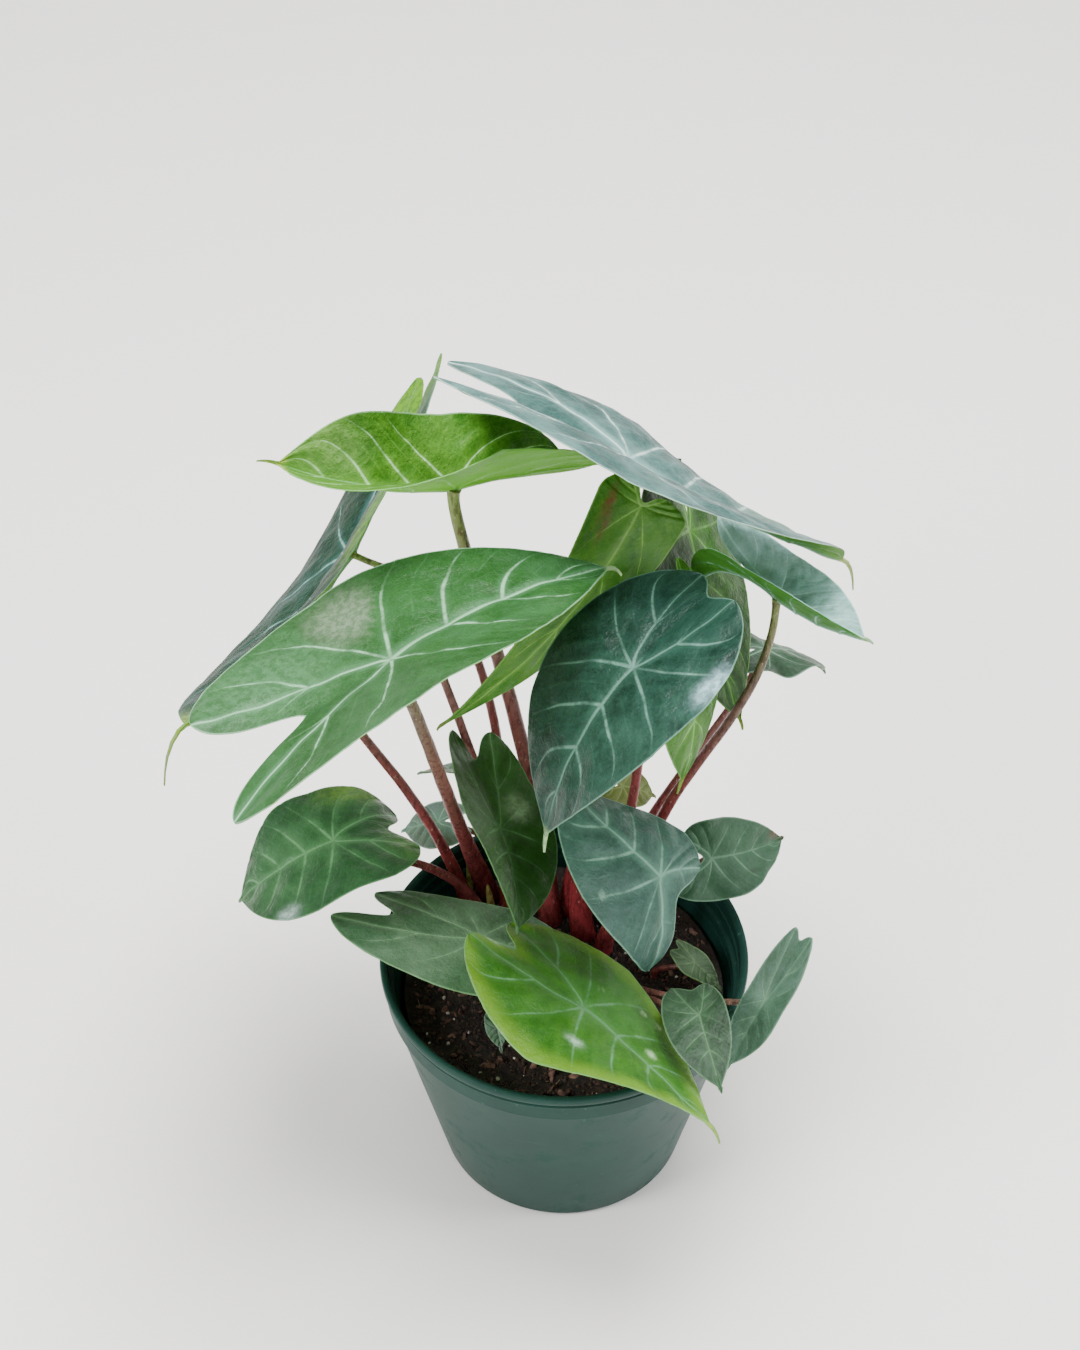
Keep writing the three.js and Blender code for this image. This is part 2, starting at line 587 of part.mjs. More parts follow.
const potOutside = [
  [potBaseRadius - 1.5, 0],
  [bodyRadius(2), 2],
  [bodyRadius(50), 50],
  [bodyRadius(bandBottom), bandBottom],
  [bandRadius - 0.2, bandBottom + 0.8],
  [bandRadius, potHeight - 4.5],
  [potRimRadius - 0.3, potHeight - 4],
  [potRimRadius, potHeight - 2],
  [potRimRadius - 0.5, potHeight - 0.4],
  [potRimRadius - 1.4, potHeight],
];
const potInside = [
  [bandRadius - potWall, potHeight - 1.2],
  [bandRadius - potWall - 0.4, bandBottom + 3],
  [bandRadius - potWall - 2.4, bandBottom + 2],
  [bandRadius - potWall - 2.6, bandBottom - 2],
  [bodyRadius(bandBottom) - potWall - 1.6, bandBottom - 3],
  [potBaseRadius - potWall - 1, potFloor],
  [0, potFloor],
  [0, 0],
];
let pot = turned([...potOutside, ...potInside], 48);
for (let i = 0; i < drainHoles; i += 1) {
  const angle = rad((360 * (i + 0.5)) / drainHoles);
  const x = drainCircle * Math.cos(angle);
  const y = drainCircle * Math.sin(angle);
  pot = pot.subtract(plug(x, y, -1, potFloor + 1, drainRadius, 12));
}

const soilTopRadius = bodyRadius(bandBottom) - potWall - 2.6;
const soilBaseRadius = potBaseRadius - potWall - 1;
const soilRadius = (z) => soilBaseRadius + ((soilTopRadius - soilBaseRadius) * z) / bandBottom - fitGap;
const soilBottom = potFloor + fitGap;
let soil = turned([
  [soilRadius(soilBottom) - 0.5, soilBottom],
  [soilRadius(soilLevel), soilLevel],
  [0, soilLevel],
  [0, soilBottom],
], 40);
for (const leaf of leaves) {
  const [x, y] = leaf.foot;
  const radius = (leaf.footRadius + fitGap) / Math.cos(Math.PI / 10);
  soil = soil.subtract(plug(x, y, soilLevel - holeDepth, soilLevel + 5, radius, 10));
}

const potMaterial = new THREE.MeshStandardMaterial({ color: 0x4a6e62, roughness: 0.42, metalness: 0 });
const soilMaterial = new THREE.MeshStandardMaterial({ color: 0x2a201b, roughness: 0.95, metalness: 0 });
const stalkMaterial = new THREE.MeshStandardMaterial({ color: 0x8a4a44, roughness: 0.5, metalness: 0 });
const tones = {
  bright: new THREE.MeshStandardMaterial({ color: 0x6c9a2f, roughness: 0.45, metalness: 0 }),
  green: new THREE.MeshStandardMaterial({ color: 0x4f7d4c, roughness: 0.45, metalness: 0 }),
  dark: new THREE.MeshStandardMaterial({ color: 0x35584a, roughness: 0.4, metalness: 0 }),
  silver: new THREE.MeshStandardMaterial({ color: 0x86a29d, roughness: 0.4, metalness: 0 }),
};

const plant = new THREE.Group();
plant.name = 'potted_alocasia';

function addPiece(name, geometry, material) {
  const mesh = new THREE.Mesh(geometry, material);
  mesh.name = name;
  plant.add(mesh);
}

addPiece('pot', toGeometry(pot), potMaterial);
addPiece('soil', toGeometry(soil), soilMaterial);
for (const leaf of leaves) {
  addPiece(`blade_${leaf.name}`, bladeGeometry(leaf), tones[leaf.tone]);
  addPiece(`stalk_${leaf.name}`, stalkGeometry(leaf), stalkMaterial);
}

export default plant;
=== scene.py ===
import math
import bmesh
import bpy
import numpy as np
from mathutils import Matrix, Vector, noise


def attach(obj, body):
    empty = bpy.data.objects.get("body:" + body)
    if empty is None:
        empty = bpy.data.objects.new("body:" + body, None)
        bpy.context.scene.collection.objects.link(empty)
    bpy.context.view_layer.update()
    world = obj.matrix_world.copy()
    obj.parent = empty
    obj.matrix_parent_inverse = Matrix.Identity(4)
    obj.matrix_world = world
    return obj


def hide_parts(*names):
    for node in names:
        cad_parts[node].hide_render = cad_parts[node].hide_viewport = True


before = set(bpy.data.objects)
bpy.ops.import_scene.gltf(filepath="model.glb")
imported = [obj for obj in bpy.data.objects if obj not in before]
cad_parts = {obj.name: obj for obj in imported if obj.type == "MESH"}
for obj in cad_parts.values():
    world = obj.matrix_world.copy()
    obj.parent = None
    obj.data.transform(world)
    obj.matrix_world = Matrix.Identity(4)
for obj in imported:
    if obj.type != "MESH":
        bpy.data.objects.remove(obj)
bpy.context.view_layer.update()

scene = bpy.context.scene
mm = 0.001
print("frame loaded", len(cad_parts), "nodes")


# sRGB hex to the linear values that Blender's sockets hold
def tone(code):
    parts = [int(code[i:i + 2], 16) / 255 for i in (0, 2, 4)]
    return [p / 12.92 if p <= 0.04045 else ((p + 0.055) / 1.055) ** 2.4 for p in parts] + [1.0]


def feed(tree, socket, value):
    if isinstance(value, bpy.types.NodeSocket):
        tree.links.new(value, socket)
    elif value is not None:
        socket.default_value = value


# a node with its settings; feeds are for its inputs, by name or number
def add(tree, kind, feeds=None, **settings):
    node = tree.nodes.new(kind)
    for name, value in settings.items():
        setattr(node, name, value)
    for name, value in (feeds or {}).items():
        feed(tree, node.inputs[name], value)
    return node


def calc(tree, operation, *values):
    return add(tree, "ShaderNodeMath", dict(enumerate(values)), operation=operation).outputs[0]


def times(tree, product, *values):
    for value in values:
        product = calc(tree, "MULTIPLY", product, value)
    return product


# a base with masks added to it, each by its weight
def weighed(tree, base, *pairs):
    for value, weight in pairs:
        base = calc(tree, "ADD", base, times(tree, value, weight))
    return base


# 0 to 1 between two values, or 1 to 0 when falling
def fade(tree, value, low, high, falling=False):
    feeds = {"Value": value, "From Min": low, "From Max": high,
             "To Min": int(falling), "To Max": int(not falling)}
    return add(tree, "ShaderNodeMapRange", feeds, interpolation_type="SMOOTHSTEP").outputs[0]


def blend(tree, share, first, second, mode="MIX"):
    feeds = {0: share, 6: first, 7: second}
    node = add(tree, "ShaderNodeMix", feeds, data_type="RGBA", blend_type=mode, clamp_factor=True)
    return node.outputs[2]


# coats laid over a colour, each by its mask and its share
def layered(tree, colour, *coats):
    for mask, share, coat in coats:
        colour = blend(tree, times(tree, mask, share), colour, coat)
    return colour


def grainy(tree, vector, scale, detail=3.0, rough=0.55, stretch=None):
    if stretch:
        vector = add(tree, "ShaderNodeMapping", {"Vector": vector, "Scale": stretch}).outputs[0]
    feeds = {"Vector": vector, "Scale": scale, "Detail": detail, "Roughness": rough}
    return add(tree, "ShaderNodeTexNoise", feeds).outputs["Fac"]


def objectSpot(tree):
    return add(tree, "ShaderNodeTexCoord").outputs["Object"]


def painting(tree, name, output="Fac"):
    return add(tree, "ShaderNodeAttribute", attribute_name=name).outputs[output]


def threeOf(tree, name):
    return add(tree, "ShaderNodeSeparateXYZ", {0: painting(tree, name, "Vector")}).outputs


# A shader node group: its inputs with their usual values, and its outputs by name
def effect(name, inputs, outputs):
    tree = bpy.data.node_groups.new(name, "ShaderNodeTree")
    for title, value in inputs.items():
        kind = "NodeSocketFloat" if isinstance(value, float) else "NodeSocketColor"
        tree.interface.new_socket(name=title, in_out="INPUT", socket_type=kind).default_value = value
    for title in outputs:
        kind = "NodeSocketColor" if title == "Color" else "NodeSocketFloat"
        tree.interface.new_socket(name=title, in_out="OUTPUT", socket_type=kind)
    return tree, add(tree, "NodeGroupInput").outputs, add(tree, "NodeGroupOutput").inputs


def material(name):
    made = bpy.data.materials.new(name)
    made.use_nodes = True
    return made, made.node_tree, made.node_tree.nodes["Principled BSDF"]


# colour, roughness and relief onto the shader: the relief's height in mm, its strength, the gloss
def dress(tree, shader, colour, rough, relief, height, strength, shine=0.5):
    bump = add(tree, "ShaderNodeBump", {"Height": relief, "Distance": height * mm, "Strength": strength})
    feed(tree, shader.inputs["Base Color"], colour)
    feed(tree, shader.inputs["Roughness"], rough)
    feed(tree, shader.inputs["Normal"], bump.outputs[0])
    feed(tree, shader.inputs["Specular IOR Level"], shine)


def newObject(name, data, skin=None):
    piece = bpy.data.objects.new(name, data)
    scene.collection.objects.link(piece)
    if skin:
        data.materials.append(skin)
    return piece


def builtObject(name, build):
    mesh = bpy.data.meshes.new(name)
    build.to_mesh(mesh)
    build.free()
    return newObject(name, mesh)


def smoothed(mesh, angle=60):
    mesh.shade_smooth()
    mesh.set_sharp_from_angle(angle=math.radians(angle))


def meshOf(name, points, faces):
    mesh = bpy.data.meshes.new(name)
    mesh.from_pydata([tuple(p) for p in points], [], [tuple(int(i) for i in f) for f in faces])
    mesh.update()
    return mesh


def painted(mesh, name, kind, values):
    layer = mesh.attributes.new(name, kind, "POINT")
    key = {"FLOAT": "value", "FLOAT_VECTOR": "vector", "FLOAT_COLOR": "color"}[kind]
    layer.data.foreach_set(key, np.asarray(values, dtype=np.float32).ravel())


# mm from the start of a path to each of its points
def lengthAlong(path):
    return np.concatenate([[0], np.cumsum(np.linalg.norm(np.diff(path, axis=0), axis=1))])


# the photograph's view: straight from the front, looking down at the leaves
view = {"elevation": 43.7, "distance": 1065 * mm, "lens": 70.7, "filmSide": 36,
        "target": (-10.7 * mm, 0, 292 * mm)}


def aimed(thing, place, target):
    thing.location = place
    thing.rotation_euler = (Vector(target) - Vector(place)).to_track_quat("-Z", "Y").to_euler()


def makeCamera():
    data = bpy.data.cameras.new("photoCamera")
    data.lens = view["lens"]
    data.sensor_fit = "VERTICAL"
    data.sensor_height = view["filmSide"]
    data.clip_end = 50
    lift = math.radians(view["elevation"])
    away = Vector((0, -math.cos(lift), math.sin(lift))) * view["distance"]
    scene.camera = newObject("photoCamera", data)
    aimed(scene.camera, Vector(view["target"]) + away, view["target"])


# lamps: name, place in m, width in m, watts and colour
studio = {"skyColour": "f6f4f2", "skyStrength": 0.9, "floorColour": "faf7f4", "floorRough": 0.9,
          "floorHalf": 6.0, "lampTarget": (0, 0, 0.25),
          "lamps": [("top", (0.1, 0.25, 1.9), 1.1, 62, "ffffff"),
                    ("left", (-1.5, -0.9, 1.5), 0.8, 34, "ffffff"),
                    ("right", (1.6, -0.3, 1.2), 0.7, 18, "f6f9ff")]}


def makeStudio():
    world = bpy.data.worlds.new("studioSky")
    world.use_nodes = True
    sky = world.node_tree.nodes["Background"]
    sky.inputs["Color"].default_value = tone(studio["skyColour"])
    sky.inputs["Strength"].default_value = studio["skyStrength"]
    scene.world = world
    for name, place, size, power, colour in studio["lamps"]:
        data = bpy.data.lights.new(name, "AREA")
        data.shape = "DISK"
        data.size = size
        data.energy = power
        data.color = tone(colour)[:3]
        aimed(newObject(name, data), place, studio["lampTarget"])
    half = studio["floorHalf"]
    corners = [(-half, -half, 0), (half, -half, 0), (half, half, 0), (-half, half, 0)]
    skin, tree, shader = material("paleFloor")
    shader.inputs["Roughness"].default_value = studio["floorRough"]
    shader.inputs["Base Color"].default_value = tone(studio["floorColour"])
    floor = newObject("floor", meshOf("floor", corners, [(0, 1, 2, 3)]), skin)


makeCamera()
makeStudio()
print("camera and studio ready")


# Soft pale ribs and curved side veins that fade towards the margin. veinMap holds the run along
# the rib counted in veins, their spacing in mm and where they show; ribMap holds rib widths off
# the rib, mm off the margin and the share of the way across.
def makeVeins():
    tree, given, out = effect("leafVeins", {"Vein Width": 0.7, "Flush Width": 3.5},
                              ("Vein", "Flush", "Fine", "Streak", "Edge"))
    run, pitch, shown = threeOf(tree, "veinMap")
    rib, edge, across = threeOf(tree, "ribMap")
    flat = add(tree, "ShaderNodeUVMap", uv_map="leafFlat").outputs[0]
    sway = calc(tree, "SUBTRACT", grainy(tree, flat, 3.2, 1.0), 0.5)
    run = weighed(tree, run, (sway, times(tree, across, 0.5)))

    # mm off the nearest side vein with 0.5, and off the middle between two of them with 0
    def offHalf(start):
        rest = calc(tree, "FRACT", calc(tree, "ADD", run, start))
        return times(tree, calc(tree, "ABSOLUTE", calc(tree, "SUBTRACT", rest, 0.5)), pitch)

    near, between = offHalf(0.5), offHalf(0.0)
    width = times(tree, given["Vein Width"], weighed(tree, 1.0, (across, -0.5)))
    side = fade(tree, near, times(tree, width, 0.2), times(tree, width, 1.6), True)
    shown = times(tree, shown, calc(tree, "ADD", 0.3, fade(tree, grainy(tree, flat, 9.0), 0.38, 0.62)))
    side = times(tree, side, shown, fade(tree, across, 0.3, 1.1, True))
    main = fade(tree, rib, 0.1, 1.25, True)
    feed(tree, out["Vein"], calc(tree, "MAXIMUM", calc(tree, "MINIMUM", side, 1.0), main))
    glow = fade(tree, near, 0.0, given["Flush Width"], True)
    glow = times(tree, glow, shown, 0.6, fade(tree, across, 0.2, 0.95, True))
    glow = calc(tree, "MAXIMUM", glow, times(tree, fade(tree, rib, 1.0, 5.5, True), 0.8))
    centre = add(tree, "ShaderNodeVectorMath", {0: flat}, operation="LENGTH").outputs["Value"]
    feed(tree, out["Flush"], calc(tree, "MAXIMUM", glow, fade(tree, centre, 0.015, 0.1, True)))
    minor = times(tree, fade(tree, between, 0.05, 0.6, True), shown, 0.3, fade(tree, across, 0.05, 0.3))
    cells = add(tree, "ShaderNodeTexVoronoi", {"Vector": flat, "Scale": 30}, feature="DISTANCE_TO_EDGE")
    net = times(tree, fade(tree, cells.outputs["Distance"], 0.0, 0.09, True), 0.14)
    feed(tree, out["Fine"], calc(tree, "MAXIMUM", minor, net))
    lane = add(tree, "ShaderNodeCombineXYZ", {0: run, 1: times(tree, across, 0.3)}).outputs[0]
    feed(tree, out["Streak"], grainy(tree, lane, 7.0, 4.0, 0.6))
    feed(tree, out["Edge"], edge)
    return tree


# what each leaf sets of its own: colours, and shares of the effects
leafTones = ("Deep", "Mid", "Pale", "Vein", "Rim", "Under")
leafShares = ("Patches", "Glow", "Veins", "Rimming", "Gloss")
undersideShade = "c4ccb4"


# The blade's colour, roughness and relief, upper side and underside, with a painted highlight along the
# margin
def makeSkin(veins):
    inputs = {"Vein Width": 0.7, **dict.fromkeys(leafShares, 0.5)}
    inputs.update(dict.fromkeys(leafTones, (0.5, 0.5, 0.5, 1)))
    tree, given, out = effect("leafSkin", inputs, ("Color", "Roughness", "Height"))
    mask = add(tree, "ShaderNodeGroup", {"Vein Width": given["Vein Width"]}, node_tree=veins).outputs
    flat = add(tree, "ShaderNodeUVMap", uv_map="leafFlat").outputs[0]
    cloud = fade(tree, grainy(tree, flat, 4.2, 4.0, 0.6), 0.36, 0.66)
    blot = fade(tree, grainy(tree, flat, 15.0, 4.0, 0.65), 0.34, 0.66)
    streak = fade(tree, mask["Streak"], 0.32, 0.68)
    patch = fade(tree, grainy(tree, objectSpot(tree), 24.0, 5.0, 0.65), 0.42, 0.7)
    share = weighed(tree, times(tree, cloud, 0.4), (streak, 0.25), (blot, 0.4))
    top = layered(
        tree, blend(tree, share, given["Deep"], given["Mid"]),
        (fade(tree, mask["Edge"], 1.0, 13.0, True), given["Rimming"], given["Rim"]),
        (patch, given["Patches"], given["Pale"]),
        (mask["Flush"], given["Glow"], given["Pale"]),
        (mask["Fine"], given["Veins"], given["Pale"]),
        (mask["Vein"], given["Veins"], given["Vein"]),
        # a pale line along the margin, partly the leaf's own pale rim and partly a painted highlight where
        # the edge catches the light
        (fade(tree, mask["Edge"], 0.2, 0.9, True), 0.45, given["Vein"]))
    below = layered(tree, given["Under"], (mask["Flush"], 0.25, given["Pale"]),
                    (mask["Vein"], 0.5, given["Vein"]))
    below = layered(tree, below, (cloud, 0.3, blend(tree, 1.0, below, tone(undersideShade), "MULTIPLY")))
    under = painting(tree, "underside")
    # fine noise that breaks up the marks: the stains into blotches, the painted highlights into glints
    broken = weighed(tree, 0.62, (fade(tree, grainy(tree, flat, 30.0, 3.0, 0.6), 0.38, 0.62), 0.65))
    marks = add(tree, "ShaderNodeAttribute", attribute_name="marks").outputs
    colour = layered(tree, blend(tree, under, top, below), (marks["Alpha"], broken, marks["Color"]))
    speck = grainy(tree, flat, 95.0, 3.0, 0.7)
    feed(tree, out["Color"], blend(tree, 1.0, colour, weighed(tree, 0.8, (speck, 0.4)), "MULTIPLY"))
    uneven = calc(tree, "SUBTRACT", speck, 0.5)
    feed(tree, out["Roughness"], weighed(tree, given["Gloss"], (uneven, 0.22), (under, 0.2)))
    feed(tree, out["Height"], weighed(tree, times(tree, speck, 0.22), (mask["Streak"], 0.6),
                                      (mask["Fine"], -0.5), (blot, 1.1), (mask["Vein"], -0.35)))
    return tree


leafSkin = makeSkin(makeVeins())


def makeLeafMaterial(leaf):
    finish, tree, shader = material("leaf_" + leaf["name"])
    values = {title: leaf[title.lower()] for title in leafShares}
    values.update({title: tone(leaf[title.lower()]) for title in leafTones})
    values["Vein Width"] = 0.25 + 0.008 * leaf["half"]
    skin = add(tree, "ShaderNodeGroup", values, node_tree=leafSkin).outputs
    dress(tree, shader, skin["Color"], skin["Roughness"], skin["Height"], 0.35, 0.8, leaf["shine"])
    return finish


print("leaf materials ready")


# One entry a leaf: lengths in mm, angles in degrees. at is where the stalk meets the blade, foot and
# knee are where the stalk starts and bends, and leafGroups names the numbers in the other groups.
# Marks are (x, y, reach x, reach y, colour, strength) on the flat blade, with 0 or 1 at the end for
# the upper side or the underside alone.
leaves = [
    # boat-shaped, top left
    dict(name="01", at=(-45.6, 71, 331), aim=(-151, 14, -8), ahead=(76, 8, 6.9), behind=(58, 1, 11, 0.43),
         width=(37, 6), bend=(-12, 14, -6, -28, -35), fold=(62, 38, -0.4), foot=(-6, 38),
         knee=(-12, 68, 201), stalk=(4.2, 2.4, 0.08), climb=(0.9, 0.14),
         tones="0e5004 497c1b 7ab04a b7e7ac 69ba1f a9bf4e", lean=2.1, glow=0.75, veins=0.9,
         marks=[(58, -12, 16, 12, "8fb36a", 0.35, 0)]),
    # topmost, seen edge-on
    dict(name="02", at=(25.3, 66, 349.8), aim=(-18, -26, -12), ahead=(101, 19, 4.1, 2.2),
         behind=(85, 2, 50, 0.53), width=(54, 6), bend=(4, 21, 4, 32, -19), fold=(0, 33, -9), foot=(3, 44),
         knee=(16, 55, 198), stalk=(4.4, 2.4, 0.15), climb=(0.5, 0.0),
         tones="24403c 3c5e58 83ada5 cfe8e0 5f8f3a 9fae5e", shine=0.06, patches=0.35, glow=0.6, veins=0.65,
         gloss=0.36, marks=[(85, 22, 26, 16, "6d9a80", 0.6, 0)]),
    # largest, reaching left
    dict(name="03", at=(-68, -29, 328.7), aim=(38, 9, -24), ahead=(107, 9, 1.7, 0.7),
         behind=(84, -6, 41, 0.4), width=(54, 0.8), bend=(27, 2, -14, 8, 23), fold=(13, 8, 0.1),
         foot=(-35, 55), knee=(-55, 37, 191), stalk=(4.0, 2.2, 0.17), climb=(0.64, 0.2),
         tones="174012 2b5628 50835a a0d2aa 76af3a a8c884", patches=0.2, veins=0.6,
         marks=[(1, 35, 16, 15, "7d8c76", 0.5, 0), (10, -16, 9, 7, "2a5626", 0.6, 0),
                (-45, 26, 34, 20, "5f9468", 0.3, 0), (20, 26, 20, 12, "2c5a2a", 0.4, 0)]),
    # hanging to the front
    dict(name="04", at=(26, -12, 307.8), aim=(-141, -26, 11), ahead=(78, 8, 2.3, 0.5),
         behind=(47, -2, 44, 0.36), width=(44, 1.5), bend=(45, 9, -11, 4, 12), fold=(7, 7, -3),
         foot=(9, 29), knee=(-2, 67, 189), stalk=(4.4, 2.4), climb=(0.4, 0.0),
         tones="071e16 26463b 436a5b 79a597 55803a a9c98a", glow=0.38, veins=0.5, gloss=0.34,
         # the first mark is a painted highlight where the gloss catches the light; the second darkens the
         # blade by the lobes
         marks=[(-12, 40, 9, 5, "a9cdd4", 0.65, 0), (-30, -4, 20, 22, "16332b", 0.5, 0)]),
    # folded, far left
    dict(name="05", at=(-93.4, 101, 268.9), aim=(-118, -17, 74), ahead=(121, 26, 3.5, 1.6),
         behind=(101, -1, 76, 0.32), width=(50, 0.1), bend=(-12, -10, -1, 40, -10), fold=(2, 42, -9),
         foot=(-25, 59), knee=(-28, 95, 269), stalk=(2.6, 1.4), climb=(0.9, 0.12),
         tones="082114 1b3b27 426b6a 86b3a4 6a9a30 7a8a32", shine=0.04,
         marks=[(-96, -12, 34, 60, "5c8e20", 0.95), (6, 46, 34, 9, "55812a", 0.75),
                (120, 0, 14, 30, "6a8a34", 0.9)]),
    # narrow, behind the third
    dict(name="06", at=(30.4, 57, 332.1), aim=(-129, -46, -65), ahead=(120, 3, 2.2, 0.8),
         behind=(9, -2, 2, 0.44), width=(24, 2), bend=(22, 18, -1, -25, -28), fold=(-4, -2, -1.9),
         waves=(1.5, 6), foot=(4, 54), knee=(26, 63, 183), stalk=(3.8, 2.0, 0.17), climb=(0.5, 0.0),
         tones="135505 427415 66963c 86b858 6a9c34 7c7a3c", marks=[(5, -15, 9, 2.2, "6a3c26", 0.8, 0),
                (14, -12, 7, 1.6, "6a4a2c", 0.7, 0)]),
    # hanging, right of the middle
    dict(name="07", at=(54.5, 106, 277.8), aim=(-81, -29, -41), ahead=(84, 4, 2.6, 0.5),
         behind=(32, 1, 7, 0.15), width=(39, 0), bend=(6, -5, 14, 26, 13), fold=(-8, 13, -1.9),
         foot=(14, 48), knee=(44, 72, 170), stalk=(3.6, 1.9), climb=(0.55, 0.05),
         tones="072502 174204 46801e 75ac57 5f9430 9fb04a", veins=0.5),
    # hanging behind the fourth
    dict(name="08", at=(52.6, 34, 271), aim=(-67, -61, -31), ahead=(60, 7, 2.3, 0.4),
         behind=(40, 0, 8, 0.42), width=(27, -1.9), bend=(32, 15, 0, -4, 1), fold=(-7, 1, -3.1),
         foot=(20, 38), knee=(33, 25, 166), stalk=(3.0, 1.6, 0.17), climb=(0.45, 0.08),
         tones="26540b 376a17 5d9738 89c06f 6a9c3c 9fb85a", shine=0.1),
    # young, near the middle
    dict(name="09", at=(26.3, 50, 175.8), aim=(12, -25, 25), ahead=(18.2, 3, 2.6),
         behind=(12.4, 0, 2.6, 0.42), width=(9.8, -0.3), bend=(25, 15, 0, 0, 3), fold=(14, 10, -2),
         foot=(27, 46), knee=(27, 47, 128), stalk=(2.0, 1.2), tones="55652c 757d3e 869057 a3b47c 76904a"),
    # folded, far right; its tones are lighter than the leaf's own colour, raised to make up for the shade
    # its bent blade falls into: painted light
    dict(name="10", at=(87.3, 45, 293.6), aim=(-62, 13, -8), ahead=(57, 4, 2.3), behind=(58, 5, 12, 0.35),
         width=(25, -1.7), bend=(-12, 16, -31, 12, -2), fold=(15, 47, -1.1), foot=(33, 50),
         knee=(40, 47, 194), stalk=(3.2, 1.6, 0.31), climb=(0.86, 0.05),
         tones="4d7663 93bcb9 add1cc b8eee9 387123 8fae6a", shine=0.12, patches=0.4, gloss=0.36),
    # small, right
    dict(name="11", at=(90, 96, 217), aim=(30, -22, -7), ahead=(44, 4, 2.2), behind=(31, -1, 6, 0.41),
         width=(20, -1.4), bend=(36, 14, 0, 2, -10), fold=(-6, 0, -2.7), waves=(2.2, 9), foot=(24, 56),
         knee=(35, 63, 149), stalk=(2.4, 1.3), tones="0b230b 2b4833 496752 7ea48b 68784c"),
    # low, left
    dict(name="12", at=(-102, 25, 167.5), aim=(-156, -8, 1), ahead=(53, 2, 3.1), behind=(37, -1, 27, 0.39),
         width=(34, 1.1), bend=(52, 48, -6, -19, -8), fold=(7, 2, -2.1), waves=(1.2, 7), foot=(-37, 40),
         knee=(-52, 47, 143), stalk=(2.4, 1.5, 0.16, 1.1), climb=(0.45, 0.2),
         tones="163f1b 2f5735 528554 7bb07f 5f8f42", patches=0.35, glow=0.6, veins=0.4, gloss=0.34,
         # the first mark is a painted highlight of gloss near the margin
         marks=[(28, 27, 5, 4, "b4ccc6", 0.6, 0), (-24, -27, 20, 8, "6f9434", 0.6, 0),
                (-34, 10, 12, 16, "5c8a3e", 0.5, 0)]),
    # young, behind the twelfth
    dict(name="13", at=(-57.9, 70, 131), aim=(163, -26, -28), ahead=(22.9, 3, 1.8),
         behind=(16.5, 1, 3.4, 0.42), width=(11.7, 1.8), bend=(25, 16, 0, 0, 0), fold=(5, 10, -2.1),
         foot=(-28, 48), knee=(-23, 61, 141), stalk=(1.8, 1.2, 0.16),
         tones="4c5940 687b7c 77a38b 9fc8b2 668a5c", patches=0.3, veins=0.5),
    # hanging over the crown
    dict(name="14", at=(-28, 15, 185.9), aim=(-69, -15, -33), ahead=(47, 2, 2.7), behind=(48, 0, 35, 0.43),
         width=(25, 0.8), bend=(25, -6, -1, -7, -14), fold=(16, 17, -1.9), foot=(-12, 50),
         knee=(-15, 44, 134), stalk=(3.0, 1.8), tones="1c4013 2c5522 4a6f45 6a9c6c 5f8f3c", patches=0.28,
         # its one mark is a painted highlight of gloss on the upper side
         veins=0.4, gloss=0.32, marks=[(-9, 12, 7, 6, "a6bfa2", 0.4, 0)]),
    # low, over the left rim
    dict(name="15", at=(-37.1, -8, 139.9), aim=(-20, 1, -7), ahead=(50, 7, 2.6), behind=(60, -5, 41, 0.44),
         width=(30, -2.7), bend=(10, -3, 4, 9, 5), fold=(-6, 1, -4.4), foot=(-8, 26), knee=(-13, 20, 119),
         stalk=(2.8, 1.7), tones="35583a 4d7052 84a488 97ca98 6c9a55", patches=0.5, veins=0.46),
    # low, over the front rim
    dict(name="16", at=(8, -52, 146.3), aim=(-39, -16, -13), ahead=(75, 8, 1.6, 0.9),
         behind=(54, -2, 39, 0.36), width=(43, -2.1), bend=(-10, 4, 10, -16, -16), fold=(-1, 12, -7.6),
         foot=(4, 18), knee=(5, 6, 125), stalk=(3.4, 2.0), climb=(0.5, 0.05),
         tones="20550f 40741f 518746 72a57f 6f9f38 8fa83c 7ea52c", patches=0.4, veins=0.48, rimming=0.5,
         # its small pale spots are painted glints of water drops, and the mark at (-51, -6) is a painted
         # highlight on the fold at a lobe's tip
         gloss=0.36, marks=[(10, -22, 5, 2.6, "a8cfae", 0.7, 0), (34, 6, 2.6, 1.8, "a8d09c", 0.75, 0),
                (17, 24, 1.5, 1.3, "b4d4a4", 0.7, 0), (25, 25, 1.2, 1.6, "b4d4a4", 0.6, 0),
                (38, 24, 3, 1.2, "a8cc9a", 0.7, 0), (45, 24, 1.3, 1, "b4d4a4", 0.6, 0),
                (-51, -6, 5, 2.4, "c8e2c8", 0.8, 0), (-1, 15, 1, 1, "b4d4a4", 0.5, 0)]),
    # low, right of the middle
    dict(name="17", at=(41.3, -6, 178.3), aim=(152, 35, 2), ahead=(63, 2, 2.4), behind=(25, 9, 12, 0.7),
         width=(37, 2), bend=(24, 36, 12, -20, 18), fold=(-4, -7, -4.6), foot=(18, 21), knee=(22, 16, 131),
         stalk=(3.6, 1.9, 0.18, 1.1), tones="25473a 3d5f54 618f7b 8fc0a8 5f8f4c", glow=0.6, veins=0.5,
         marks=[(14, 29, 1.4, 1.3, "a0cdb4", 0.7, 0)]),
    # crumpled, over the right rim
    dict(name="18", at=(66.2, 30, 150.2), aim=(17, -8, 49), ahead=(42, 2, 2.2), behind=(17, -4, 4, 0.58),
         width=(19, -0.5), bend=(34, 15, 0, 10, -4), fold=(12, 14, -2.1), waves=(2.3, 9), foot=(30, 26),
